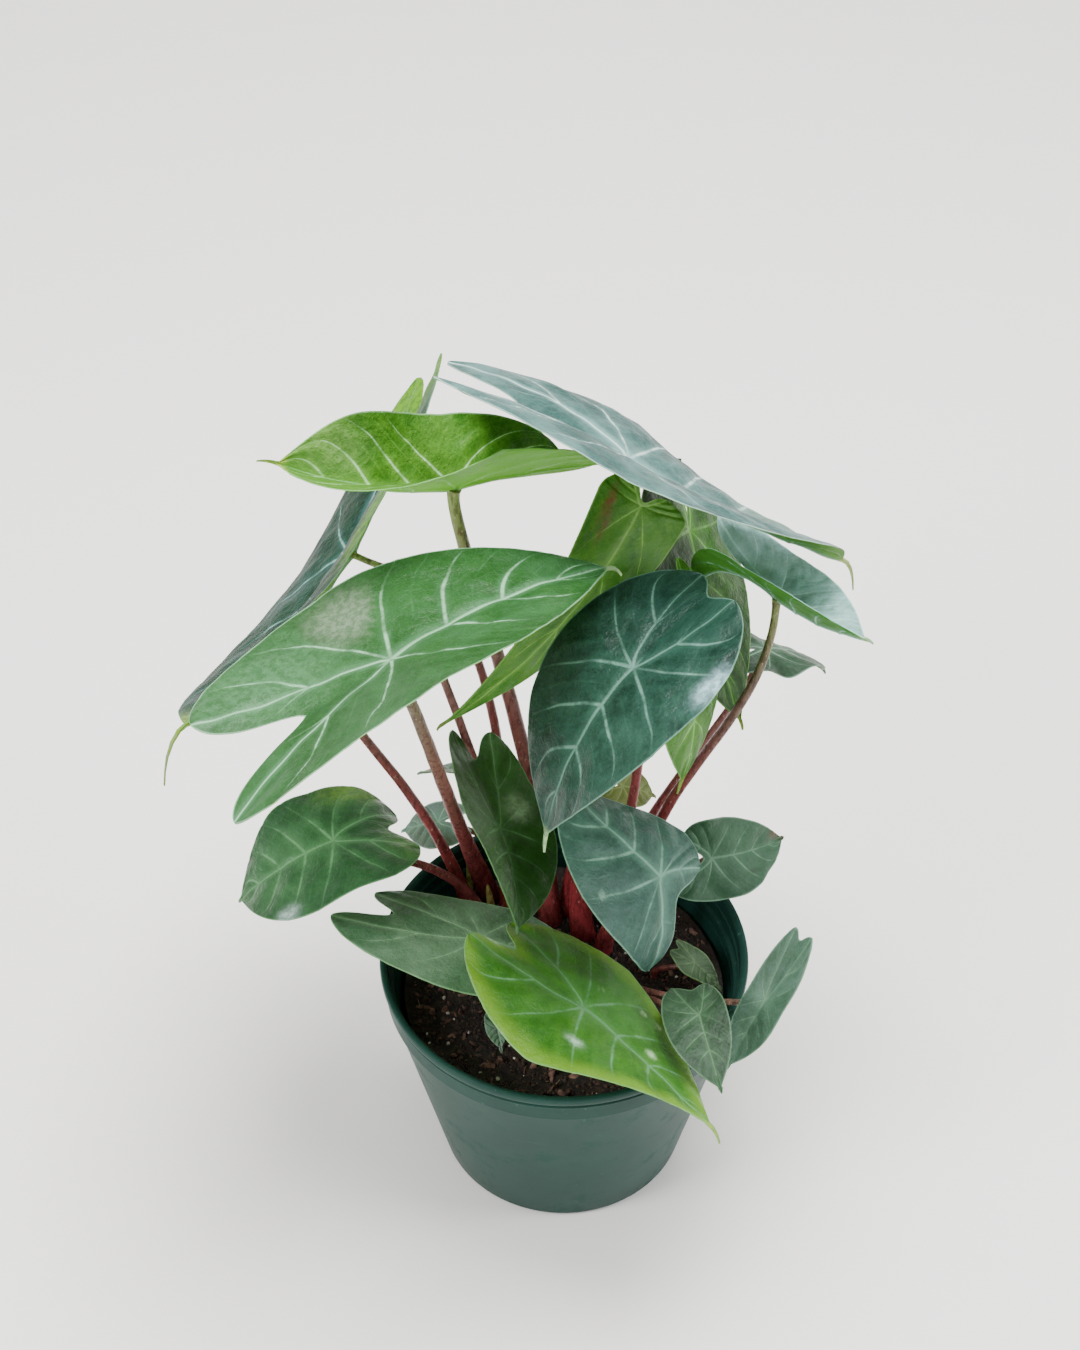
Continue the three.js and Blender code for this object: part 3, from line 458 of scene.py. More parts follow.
         knee=(36, 27, 121), stalk=(2.6, 1.5), tones="204327 2f4e3a 4a6f54 78a082 527a48 4a3420",
         crumple=1.3, patches=0.4, veins=0.4, marks=[(37, 4, 5, 3, "4a3018", 0.75),
                (19, -9, 4, 1.2, "20361e", 0.6, 0)]),
    # small, right front
    dict(name="19", at=(57, -54, 144.1), aim=(-79, -5, 9), ahead=(35.3, 2, 2.5), behind=(18, 0, 15, 0.5),
         width=(14, -1.9), bend=(18, 28, 1, 2, -2), fold=(0, 5, -2.1), waves=(0.8, 6), foot=(27, -6),
         knee=(34, -22, 122), stalk=(1.7, 1.2, 0.13), climb=(0.3, 0.42),
         tones="152817 334c38 496e4c 69916a 54743f", glow=0.35, veins=0.35),
    # small, upright, right front
    dict(name="20", at=(86.6, -38, 133.8), aim=(-131, -39, 5), ahead=(32.9, 2, 2.7),
         behind=(34.1, 0, 30, 0.45), width=(11.5, 1.9), bend=(11, -4, -1, -2, -4), fold=(20, 10, -1.8),
         foot=(22, 8), knee=(24, -37, 129), stalk=(1.8, 1.3, 0.12), climb=(0.3, 0.42),
         tones="2e4b35 486356 5c8068 7aa384 5c8052", veins=0.3),
    # torn, inside the pot
    dict(name="21", at=(58.9, 2, 111.7), aim=(-43, -14, 3), ahead=(15.7, 2, 2.3),
         behind=(12.5, 1, 10, 0.43), width=(7.2, -1.3), bend=(19, 14, 0, 2, 0), fold=(12, 12, -2),
         waves=(0.8, 6), foot=(41, 6), knee=(44, 5, 106), stalk=(1.5, 1.0), climb=(0.4, 0.3),
         tones="142316 385132 53694f 6f8d5e 6a8c30", veins=0.35),
    # youngest, under the sixteenth
    dict(name="22", at=(-29.6, -36, 112.2), aim=(-76, -13, -4), ahead=(9.5, 2, 2.4),
         behind=(6.9, -2, 1.5, 0.42), width=(4.6, -0.8), bend=(24, 15, 0, -1, 0), fold=(12, 12, -2),
         foot=(-29, 0), knee=(-29, -6, 110), stalk=(1.4, 0.9), tones="3b6c47 4c7c5b 7b917f 97a29f 66925c",
         veins=0.5),
    # young, behind the fourteenth
    dict(name="23", at=(-38.6, 63, 171.4), aim=(150, -17, 21), ahead=(33.6, 3, 2.4),
         behind=(17, 0, 4.6, 0.42), width=(12, 0.3), bend=(18, 15, 0, -3, 2), fold=(13, 8, -2),
         foot=(-18, 60), knee=(-21, 60, 126), stalk=(1.6, 1.1), tones="2c4a30 44624a 5c7c62 7c9c82 54743f"),
    # behind the third, left
    dict(name="24", at=(-99.1, 52, 233.4), aim=(140, 0, 0), ahead=(36, 5, 2.4), behind=(20, 0, 5, 0.42),
         width=(17, 0), bend=(20, 10, 0, 0, 0), fold=(12, 12, -2), foot=(-44, 45), knee=(-58, 53, 167),
         stalk=(2.8, 1.8, 0.13), tones="1c4412 2e5a1c 4a7434 6a9450 4a7a24"),
    # behind the third, middle
    dict(name="25", at=(-57.1, 64, 251.6), aim=(85, -5, 0), ahead=(24, 3, 2.4), behind=(16, 0, 4, 0.42),
         width=(15, 0), bend=(20, 30, 0, 0, 0), fold=(12, 12, -2), foot=(-30, 41), knee=(-8, 29, 113),
         stalk=(2.8, 1.7, 0.08), tones="285018 3e6a2a 588446 78a468 5a8a34"),
]
leafGroups = dict(
    aim="heading pitch roll", ahead="front drip full hook", behind="lobes lobeSkew notch spread",
    width="half halfSkew", bend="droop hang hangSkew sweep twist", fold="foldLeft foldRight cup",
    waves="wave ripples", stalk="footRadius topRadius neck clear",
    climb="ripe blush",  # share of the stalk's colour run that it covers, and where it starts
    tones="deep mid pale vein under tip rim")
leafUsual = dict(hook=0.3, neck=0.18, clear=0.45, waves=(0.6, 6), climb=(0.6, 0.08), lean=1.2, crumple=0.0,
                 patches=0.25, glow=0.5, veins=0.62, rimming=0.0, gloss=0.42, shine=0.22, marks=[])


def spelledOut(entry):
    leaf = {**leafUsual, **entry}
    leaf["tones"] = leaf["tones"].split()
    for group, names in leafGroups.items():
        leaf.update(zip(names.split(), leaf[group]))
    for name in ("tip", "rim"):
        leaf.setdefault(name, leaf["pale"])
    return leaf


leaves = [spelledOut(entry) for entry in leaves]


# thickness and relief of the blades in mm, veins a side, and how many rows of points a blade has:
# above each half width, the rows ahead, behind, out to the margin and in to the notch
bladeShape = {"thickness": 0.55, "margin": 0.3, "frontVeins": 4.0, "lobeVeins": 2.5, "quilt": 0.8,
              "pucker": 0.42, "groove": 0.22, "midrib": 1.25, "ribDip": 0.25, "sideRib": 0.22, "waver": 0.16,
              "dripHalf": (0.25, 0.9), "usualHalf": 45,
              "rows": ((30, (58, 40, 24, 6)), (16, (40, 28, 16, 4)), (0, (26, 18, 10, 3)))}


def axesOf(leaf):
    heading, pitch, roll = (math.radians(leaf[k]) for k in ("heading", "pitch", "roll"))
    level = np.array([-math.sin(heading), math.cos(heading), 0.0])
    reach = math.cos(pitch)
    along = np.array([reach * math.cos(heading), reach * math.sin(heading), math.sin(pitch)])
    up = np.cross(along, level)
    left = level * math.cos(roll) + up * math.sin(roll)
    out = up * math.cos(roll) - level * math.sin(roll)
    return along, left, out


def bentBlade(leaf, x, y, lift=0.0):
    over = np.maximum(x - leaf["front"], 0.0)  # the drip past the tip hangs down
    points = bentSheet(leaf, np.minimum(x, leaf["front"]), y, lift)
    tip = bentSheet(leaf, np.array([leaf["front"], leaf["front"] - 1]), np.zeros(2))
    course = np.repeat([tip[0] - tip[1]], len(x), axis=0)
    course[:, 2] -= leaf["hook"] * over / leaf["drip"]
    course /= np.linalg.norm(course, axis=1)[:, None]
    return points + course * over[:, None]


def bentSheet(leaf, x, y, lift=0.0):
    side = np.where(y < 0, -1.0, 1.0)
    off = np.abs(y)
    ahead = x >= 0
    length = np.where(ahead, leaf["front"], leaf["lobes"]).astype(float)
    t = np.abs(x) / length
    skew = side * np.minimum(off / (leaf["spread"] * leaf["half"]), 1)
    total = np.radians(np.where(ahead, leaf["droop"], leaf["hang"] + leaf["hangSkew"] * skew))
    total = np.where(np.abs(total) < 1e-4, 1e-4, total)
    run = np.sin(total * t) / total * length
    fall = (1 - np.cos(total * t)) / total * length
    slope = np.where(ahead, -total * t, total * t)
    sweep = math.radians(leaf["sweep"]) or 1e-4
    turn = np.where(ahead, sweep * t, 0.0)
    drift = np.where(ahead, (1 - np.cos(turn)) / sweep * length, 0.0)
    fold = np.radians(np.where(side > 0, leaf["foldLeft"], leaf["foldRight"]))
    cup = leaf["cup"] / 1000 or 1e-6
    across = side * (np.sin(fold + cup * off) - np.sin(fold)) / cup
    rise = (np.cos(fold) - np.cos(fold + cup * off)) / cup
    waves = np.sin(x / leaf["front"] * leaf["ripples"] + side * 1.3)
    rise = rise + leaf["wave"] * (off / leaf["half"]) ** 2 * waves
    rise = rise + lift
    twist = np.where(ahead, math.radians(leaf["twist"]) * t, 0.0)
    lateral = across * np.cos(twist) - rise * np.sin(twist)
    normal = across * np.sin(twist) + rise * np.cos(twist)
    along = np.stack([np.cos(slope) * np.cos(turn), np.sin(turn), np.sin(slope)], 1)
    beside = np.stack([-np.sin(turn), np.cos(turn), np.zeros_like(turn)], 1)
    above = np.cross(along, beside)
    above /= np.linalg.norm(above, axis=1)[:, None]
    local = np.stack([np.where(ahead, run, -run), drift, -fall], 1)
    local = local + beside * lateral[:, None] + above * normal[:, None]
    return np.array(leaf["at"]) + local @ np.array(axesOf(leaf))


# rows of points from a rib out to a margin, their faces, and what the veins need to know of each
# point: run, spacing, share across, mm off the rib, mm off the margin, share along, inner or not
def bladeStrip(leaf, ribs, margins, steps, flip, inner, length, veins):
    ribs, margins = np.array(ribs), np.array(margins)
    u = np.linspace(0, 1, steps + 1)
    grid = ribs[:, None] + (margins - ribs)[:, None] * u[None, :, None]
    across = np.broadcast_to(u, (len(ribs), steps + 1))
    span = np.linalg.norm(margins - ribs, axis=1)[:, None]
    away = across * span * (0.6 if inner else 1.0)
    edge = (1 - across) * span
    along = np.abs(grid[:, :, 0]) / length
    index = np.arange(across.size).reshape(across.shape)
    quads = np.stack([index[:-1, :-1], index[:-1, 1:], index[1:, 1:], index[1:, :-1]], -1).reshape(-1, 4)
    if flip:
        quads = quads[:, ::-1]
    if inner:
        run = np.broadcast_to(along[:, :1] * veins, across.shape)
    else:
        run = along * veins - leaf["lean"] * (0.75 * across + 0.25 * across ** 2)
    pitch = np.full(run.size, length / veins * 0.75)
    facts = [run.ravel(), pitch, across.ravel(), away.ravel(), edge.ravel(), along.ravel(),
             np.full(run.size, float(inner))]
    return grid.reshape(-1, 2), quads, np.stack(facts, 1)


# The flat blade: three strips a side, joined where their points meet
def flatBlade(leaf, rows):
    shape = bladeShape
    strips = []
    for side in (1, -1):
        half = leaf["half"] + side * leaf["halfSkew"]
        lobes = leaf["lobes"] + side * leaf["lobeSkew"]
        notch = min(leaf["notch"], 0.93 * (leaf["lobes"] - abs(leaf["lobeSkew"])))
        front, drip = leaf["front"], leaf["drip"]
        ribs, margins = [], []
        thin, broad = shape["dripHalf"]
        for share in np.linspace(1, 0.15, 5):
            ribs.append((front + drip * share, 0))
            margins.append((front + drip * share, side * (thin + (broad - thin) * (1 - share))))
        for k in range(rows[0] + 1):
            t = 1 - (k / rows[0]) ** 1.3
            width = half * (1 - t ** leaf["full"]) ** 1.1
            width = max(width, min(max((t - 0.8) * 5, 0), 1))
            ribs.append((front * t, 0))
            margins.append((front * t, side * width))
        strips.append(bladeStrip(leaf, ribs, margins, rows[2], side < 0, False, front, shape["frontVeins"]))
        ribs, outer, inner = [], [], []
        for k in range(rows[1] + 1):
            t = math.sin(math.pi / 2 * k / rows[1])
            width = leaf["spread"] + (1 - leaf["spread"]) * max(1 - t * t, 0) ** 0.6
            rib = side * leaf["spread"] * half * t ** 0.7
            bay = 1 - 0.5 * t ** 0.3 * math.sqrt(max(1 - t * t, 0))  # rounds the end of the lobe
            ribs.append((-lobes * t, rib))
            outer.append((-lobes * t, side * half * width))
            inner.append((-(notch + (lobes - notch) * t), rib * bay))
        strips.append(bladeStrip(leaf, ribs, outer, rows[2], side < 0, False, lobes, shape["lobeVeins"]))
        strips.append(bladeStrip(leaf, ribs, inner, rows[3], side > 0, True, lobes, shape["lobeVeins"]))
    points = np.vstack([s[0] for s in strips])
    facts = np.vstack([s[2] for s in strips])
    start = np.cumsum([0] + [len(s[0]) for s in strips])
    quads = np.vstack([s[1] + first for s, first in zip(strips, start)])
    keys = np.round(points * 2000).astype(np.int64)
    _, first, where = np.unique(keys, axis=0, return_index=True, return_inverse=True)
    faces = [list(dict.fromkeys(quad)) for quad in where.ravel()[quads]]
    return points[first], [face for face in faces if len(face) > 2], facts[first]


def surfaceNormals(points, faces):
    normals = np.zeros_like(points)
    for size in (3, 4):
        corners = np.array([f for f in faces if len(f) == size])
        if not len(corners):
            continue
        a, b, c, d = (points[corners[:, k]] for k in (0, 1, 2, size - 1))
        flat = np.cross(b - a, c - a) if size == 3 else np.cross(c - a, d - b)
        for k in range(size):
            np.add.at(normals, corners[:, k], flat)
    return normals / np.maximum(np.linalg.norm(normals, axis=1), 1e-9)[:, None]


def softStep(value, low, high):
    t = np.clip((value - low) / (high - low), 0, 1)
    return t * t * (3 - 2 * t)


def makeBlade(leaf):
    shape = bladeShape
    size = leaf["half"] / shape["usualHalf"]
    rows = next(counts for half, counts in shape["rows"] if leaf["half"] > half)
    points, faces, facts = flatBlade(leaf, rows)
    x, y = points.T
    run, pitch, across, away, edge, along, inside = facts.T
    ribWidth = (0.35 + 0.75 * size) * np.where(x >= 0, 1.0, 0.8) * (1 - 0.72 * np.clip(along, 0, 1)) + 0.12
    rib = away / ribWidth
    veins = np.where(x >= 0, shape["frontVeins"], shape["lobeVeins"])
    shown = softStep(run, -0.5, -0.3) * (1 - softStep(run, veins - 1.15, veins - 0.75))
    shown = shown * np.where(inside > 0, softStep(run, 0.4, 0.7) * 0.35, 1.0)
    nearest = np.abs(run - np.round(run)) * pitch
    bulge = np.sin(np.pi * run) ** 2 * np.sin(np.pi * np.clip(across, 0, 1)) ** 0.7
    bulge = bulge * softStep(run, -1.4, -0.2)
    relief = shape["quilt"] * (0.35 + 0.65 * size) * bulge * (1 - 0.8 * inside)
    relief = relief - shape["groove"] * shown * (1 - softStep(nearest, 0.2, 1.0))
    relief = relief - shape["ribDip"] * (1 - softStep(rib, 0.3, 1.6)) * softStep(x, -4, 0)
    phase = float(leaf["name"]) * 1.7
    waver = (shape["waver"] + leaf["crumple"]) * (np.abs(y) / leaf["half"]) ** 2
    relief = relief + waver * np.sin(x * 0.42 + phase) * np.sin(y * 0.31 + phase)
    pucker = np.sin(0.21 * x + 1.3 * np.sin(0.17 * y) + phase)
    pucker = pucker * np.sin(0.26 * y + 1.1 * np.sin(0.13 * x) - phase)
    relief = relief + shape["pucker"] * size * pucker * softStep(edge, -4, 8)
    top = bentBlade(leaf, x, y, relief)
    normals = surfaceNormals(bentBlade(leaf, x, y), faces)
    thick = shape["margin"] + (shape["thickness"] - shape["margin"]) * softStep(edge, 0, 1.6)
    midrib = shape["midrib"] * (0.3 + 0.7 * size) * (1 - 0.7 * np.clip(along, 0, 1))
    thick = thick + midrib * np.sqrt(np.clip(1 - (rib / 1.5) ** 2, 0, 1)) * softStep(edge, 0, 1.0)
    thick = thick + shape["sideRib"] * shown * (1 - softStep(nearest, 0.1, 0.9)) * softStep(edge, 0, 2.0)
    bottom = top - normals * thick[:, None]
    count = len(points)
    whole = list(faces) + [[i + count for i in reversed(f)] for f in faces]
    edges = {}
    for face in faces:
        for p, q in zip(face, face[1:] + face[:1]):
            if (q, p) in edges:
                del edges[(q, p)]
            else:
                edges[(p, q)] = True
    whole += [[q, p, p + count, q + count] for p, q in edges]
    mesh = meshOf("leafBlade" + leaf["name"], np.vstack([top, bottom]) * mm, whole)
    for name, columns in (("veinMap", (run, pitch, shown)), ("ribMap", (rib, edge, across))):
        painted(mesh, name, "FLOAT_VECTOR", np.tile(np.stack(columns, 1), (2, 1)))
    painted(mesh, "underside", "FLOAT", np.repeat([0.0, 1.0], count))
    painted(mesh, "marks", "FLOAT_COLOR", leafMarks(leaf, x, y))
    layer = mesh.uv_layers.new(name="leafFlat")
    corner = np.empty(len(mesh.loops), dtype=np.int32)
    mesh.loops.foreach_get("vertex_index", corner)
    flat = np.tile(points / 100, (2, 1))[corner]
    layer.data.foreach_set("uv", flat.astype(np.float32).ravel())
    smoothed(mesh)
    return newObject(mesh.name, mesh, makeLeafMaterial(leaf))


# Stains, pale and dark patches, painted highlights where gloss catches the light, and the tip's colour:
# colour and strength at each point, both sides alike unless one is named
def leafMarks(leaf, x, y):
    colour = np.zeros((2, len(x), 4))
    colour[:, :, :3] = tone(leaf["tip"])[:3]
    colour[:, :, 3] = softStep(x, leaf["front"] - 5, leaf["front"] + 1) * 0.75
    for cx, cy, reachX, reachY, code, strength, *where in leaf["marks"]:
        share = strength * np.exp(-(((x - cx) / reachX) ** 2 + ((y - cy) / reachY) ** 2) ** 1.5)
        for side in (where or (0, 1)):
            colour[side, share > colour[side, :, 3], :3] = tone(code)[:3]
            colour[side, :, 3] = np.maximum(colour[side, :, 3], share)
    return colour.reshape(-1, 4)


# each stalk: an upright foot in the soil, then one curve up to the blade, in mm; the colours run
# from foot to blade
stalkShape = {"soil": 98, "footDepth": 12, "sides": 18, "steps": 44, "flare": 0.32, "flareHeight": 34,
              "groove": 0.12, "cap": 0.75, "thickness": 0.8, "wobble": 0.03, "swell": 0.3,
              "streaks": "8a5850", "flecks": "c0a494"}
stalkTones = [(0.0, "7d272c"), (0.2, "883a3c"), (0.45, "744540"), (0.7, "62503e"), (0.88, "6e7a3e"),
              (1.0, "7e9648")]
shootTones = [(0.0, "8a5a44"), (0.5, "b8a070"), (0.8, "c4bc6c"), (1.0, "d0cf98")]


def makeStalkMaterial(name, stops):
    finish, tree, shader = material(name)
    spot = objectSpot(tree)
    drift = calc(tree, "SUBTRACT", grainy(tree, spot, 45.0), 0.5)
    ramp = add(tree, "ShaderNodeValToRGB", {0: weighed(tree, painting(tree, "climb"), (drift, 0.22))})
    while len(ramp.color_ramp.elements) < len(stops):
        ramp.color_ramp.elements.new(0.5)
    for element, (place, code) in zip(ramp.color_ramp.elements, stops):
        element.position = place
        element.color = tone(code)
    plain = ramp.outputs["Color"]
    streaks = fade(tree, grainy(tree, spot, 520.0, 3.0, 0.7, (1, 1, 0.3)), 0.46, 0.62)
    flecks = fade(tree, grainy(tree, spot, 900.0, 2.0, 0.6, (1, 1, 0.45)), 0.62, 0.74)
    dark = blend(tree, 1.0, plain, tone(stalkShape["streaks"]), "MULTIPLY")
    colour = layered(tree, plain, (streaks, 0.6, dark), (flecks, 0.5, tone(stalkShape["flecks"])))
    dress(tree, shader, colour, weighed(tree, 0.36, (streaks, 0.16)), streaks, 0.15, 0.6, 0.35)
    return finish


stalkMaterial = makeStalkMaterial("stalkSkin", stalkTones)
shootMaterial = makeStalkMaterial("shootSkin", shootTones)


# a round tube along a path, a ring of points at each step, its last ring square to the end direction
def tubeMesh(name, path, radius, end, dent=0.0):
    sides = stalkShape["sides"]
    points = []
    across = np.array([1.0, 0.0, 0.0])
    length = lengthAlong(path)
    for k, spot in enumerate(path):
        ahead = path[min(k + 1, len(path) - 1)] - path[max(k - 1, 0)]
        if k < 3:
            ahead = np.array([0.0, 0.0, 1.0])
        if k == len(path) - 1:
            ahead = end
        ahead = ahead / np.linalg.norm(ahead)
        across = across - ahead * np.dot(across, ahead)
        across = across / np.linalg.norm(across)
        beside = np.cross(ahead, across)
        for j in range(sides):
            angle = 2 * math.pi * j / sides
            groove = 1 - dent * math.exp(-((angle - 4.7) / 0.45) ** 2)
            wobble = 1 + stalkShape["wobble"] * math.sin(3 * angle + 0.2 * length[k])
            out = across * math.cos(angle) + beside * math.sin(angle)
            points.append(spot + out * radius[k] * groove * wobble)
    faces = []
    for k in range(0, len(points) - sides, sides):
        for j in range(sides):
            i = (j + 1) % sides
            faces.append([k + j, k + i, k + sides + i, k + sides + j])
    faces.append(list(reversed(range(sides))))
    faces.append(list(range(len(points) - sides, len(points))))
    return meshOf(name, np.array(points) * mm, faces)


# a tube in its colours, which run from 0 at the foot of a stalk to 1 at its blade
def tubePiece(name, path, radius, end, climb, skin, dent=0.0):
    mesh = tubeMesh(name, path, radius, end, dent)
    painted(mesh, "climb", "FLOAT", np.repeat(climb, stalkShape["sides"]))
    smoothed(mesh)
    return newObject(name, mesh, skin)


def makeStalk(leaf):
    shape = stalkShape
    out = axesOf(leaf)[2]
    start = np.array([leaf["foot"][0], leaf["foot"][1], shape["soil"] + 2.0])
    frameEnd = np.array(leaf["at"]) - out * (shape["thickness"] + leaf["clear"])
    reach = np.linalg.norm(frameEnd - start)
    end = np.array(leaf["at"]) - out * shape["cap"]
    knee = np.array(leaf["knee"], dtype=float)
    high = frameEnd - out * leaf["neck"] * reach
    t = np.linspace(0, 1, shape["steps"] + 1)[:, None]
    curve = (1 - t) ** 3 * start + 3 * (1 - t) ** 2 * t * knee + 3 * (1 - t) * t * t * high + t ** 3 * end
    foot = start - np.array([0, 0, shape["footDepth"]])
    path = np.vstack([foot, foot + (start - foot) * 0.5, curve])
    share = np.concatenate([[0, 0], t[:, 0]])
    length = lengthAlong(path)
    radius = leaf["footRadius"] + (leaf["topRadius"] - leaf["footRadius"]) * share ** 0.6
    height = np.maximum(length - shape["footDepth"], 0)
    flare = shape["flare"] * min(leaf["footRadius"] / 4, 1)
    radius = radius * (1 + flare * np.exp(-(height / shape["flareHeight"]) ** 2))
    radius = radius * (1 + shape["swell"] * np.exp(-(length[-1] - length) / (1.4 * leaf["topRadius"])))
    climb = np.clip(share * leaf["ripe"] + leaf["blush"], 0, 1)
    return tubePiece("leafStalk" + leaf["name"], path, radius, out, climb, stalkMaterial, shape["groove"])


# young shoots beside the stalks, up to 4.8 mm wide: foot and tip in mm, radius at the foot, and the
# place in the colour run at foot and tip
shoots = [{"foot": (-43, 57, 95), "tip": (-43, 58, 124), "radius": 2.4, "climb": (0.8, 0.92)},
          {"foot": (-45, 54, 95), "tip": (-55, 58, 131), "radius": 0.9, "climb": (0.9, 1.0)},
          {"foot": (-33.5, 45, 95), "tip": (-35, 46, 115), "radius": 1.9, "climb": (0.6, 0.75)},
          {"foot": (16, 21, 95), "tip": (15.7, 21, 107), "radius": 1.9, "climb": (0.4, 0.62)}]


def makeShoot(index, shoot):
    foot, tip = np.array(shoot["foot"], dtype=float), np.array(shoot["tip"], dtype=float)
    low, high = shoot["climb"]
    t = np.linspace(0, 1, 14)
    path = foot + (tip - foot) * t[:, None]
    path[:, :2] += (tip - foot)[:2] * (t ** 1.8 - t)[:, None]
    radius = shoot["radius"] * (1 - t ** 2.2) ** 0.6 + 0.12
    return tubePiece("youngShoot%d" % index, path, radius, tip - foot, low + (high - low) * t, shootMaterial)


# the round nursery pot: sizes in mm, as in the frame's pot node, and its colours
potShape = {"height": 121, "baseRadius": 56, "rimRadius": 82.5, "wall": 1.8, "floor": 2.4, "band": 17,
            "bandStep": 1.6, "drains": 6, "drainRadius": 5, "drainCircle": 38, "segments": 160,
            "body": ("17352e", "1f4038"), "dust": "33574e", "specks": "55756b", "scuff": "33574d"}


def arcPoints(corner, before, after, radius, steps=5):
    corner, before, after = (np.array(p, dtype=float) for p in (corner, before, after))
    a, b = (corner + (p - corner) / np.linalg.norm(p - corner) * radius for p in (before, after))
    return [tuple((1 - s) ** 2 * a + 2 * s * (1 - s) * corner + s * s * b) for s in np.linspace(0, 1, steps)]


def roundedProfile(corners):
    profile = []
    for k, (radius, height, soft) in enumerate(corners):
        before = corners[k - 1][:2]
        after = corners[(k + 1) % len(corners)][:2]
        profile += arcPoints((radius, height), before, after, soft) if soft else [(radius, height)]
    return profile


def ringPoints(radius, height, count):
    angles = [2 * math.pi * k / count for k in range(count)]
    return [(radius * math.cos(angle), radius * math.sin(angle), height) for angle in angles]


# closed when the profile starts and ends on the axis
def turnedMesh(name, profile, segments):
    points, rings = [], []
    for radius, height in profile:
        ring = ringPoints(radius, height, segments if radius > 1e-6 else 1)
        rings.append(range(len(points), len(points) + len(ring)))
        points += ring
    faces = []
    for low, high in zip(rings, rings[1:]):
        for k in range(segments):
            j = (k + 1) % segments
            face = [low[k % len(low)], low[j % len(low)], high[j % len(high)], high[k % len(high)]]
            faces.append(list(dict.fromkeys(face)))
    return meshOf(name, np.array(points) * mm, faces)


def makePotMaterial():
    finish, tree, shader = material("potPlastic")
    spot = objectSpot(tree)
    low, high = potShape["body"]
    cloud = fade(tree, grainy(tree, spot, 14.0, 5.0, 0.6), 0.3, 0.75)
    dust = fade(tree, grainy(tree, spot, 60.0, 6.0, 0.72), 0.5, 0.78)
    specks = fade(tree, grainy(tree, spot, 420.0, 2.0, 0.5), 0.68, 0.76)
    scuff = fade(tree, grainy(tree, spot, 26.0, 5.0, 0.7, (1, 1, 9)), 0.63, 0.74)
    colour = layered(tree, blend(tree, cloud, tone(low), tone(high)), (dust, 0.22, tone(potShape["dust"])),
                     (specks, 0.4, tone(potShape["specks"])), (scuff, 0.22, tone(potShape["scuff"])))
    rough = weighed(tree, 0.4, (dust, 0.22), (specks, 0.2))
    grain = weighed(tree, times(tree, grainy(tree, spot, 900.0, 2.0), 0.3), (dust, 0.3))
    dress(tree, shader, colour, rough, grain, 0.12, 0.5, 0.1)
    return finish


# profile corners: radius, height and how far each is rounded
def makePot():
    shape = potShape
    top, rim, base = shape["height"], shape["rimRadius"], shape["baseRadius"]
    wall = shape["wall"]
    foot = top - shape["band"]  # of the band under the lip
    band = rim - 2
    inner = band - wall

    def body(height):
        return base + (band - shape["bandStep"] - base) * height / foot

    corners = [
        (0, 0, 0), (base - 5.5, 0, 0), (base - 1.5, 0, 0.6), (body(2.2), 2.2, 0.8), (body(52), 52, 0),
        (body(foot), foot, 0.3), (band - 0.2, foot + 0.8, 0.4), (band - 0.1, top - 8.2, 0.3),
        (band + 0.5, top - 7.6, 0.25), (band + 0.5, top - 6.9, 0.25), (band - 0.1, top - 6.3, 0.3),
        (band, top - 4.9, 0.4), (rim - 0.6, top - 4.4, 0.5), (rim, top - 2.4, 1.2),
        (rim - 0.5, top - 0.1, 0.9), (rim - 2.2, top, 0.7), (inner, top - 1.4, 0.6),
        (inner - 0.2, top - 7.0, 0.2), (inner - 1.0, top - 7.5, 0.2), (inner - 0.5, foot + 3.2, 0.4),
        (inner - 2.4, foot + 2.2, 0.5), (inner - 2.6, foot - 2, 0.5),
        (body(foot) - wall - 1.6, foot - 3, 0.4), (base - wall - 1, shape["floor"], 0.8),
        (0, shape["floor"], 0)]
    mesh = turnedMesh("nurseryPot", roundedProfile(corners), shape["segments"])
    pot = newObject("nurseryPot", mesh, makePotMaterial())
    for k in range(shape["drains"]):
        angle = math.radians(360 * (k + 0.5) / shape["drains"])
        reach, radius = shape["drainCircle"] * mm, shape["drainRadius"] * mm
        spot = Matrix.Translation((reach * math.cos(angle), reach * math.sin(angle), 0))
        build = bmesh.new()
        bmesh.ops.create_cone(build, cap_ends=True, segments=32, radius1=radius, radius2=radius,
                              depth=12 * mm, matrix=spot)
        cutter = builtObject("drainCutter", build)
        cut = pot.modifiers.new("drain", "BOOLEAN")
        cut.operation = "DIFFERENCE"
        cut.solver = "EXACT"
        cut.object = cutter
        settled(pot)
        bpy.data.objects.remove(cutter)
    smoothed(pot.data, 40)
    return pot


# the evaluated mesh takes the place of the object's own, with no modifier left
def settled(piece):
    bpy.context.view_layer.update()
    fresh = bpy.data.meshes.new_from_object(piece.evaluated_get(bpy.context.evaluated_depsgraph_get()))
    fresh.name = piece.name
    piece.modifiers.clear()
    piece.data = fresh


# soil in the pot: sizes in mm, with the mound's middle and reach in x and y, and its colours
soilShape = {"level": 98, "bottom": 2.7, "lump": 3.0, "rings": 96, "segments": 300, "rise": 2.2,
             "mound": (6, 36, 30, 24), "wallGap": 2.1, "taper": 5.4, "shoulder": 104, "bare": 2.5,
             "colours": ("100a08", "30221b"), "wet": "8a7a70"}
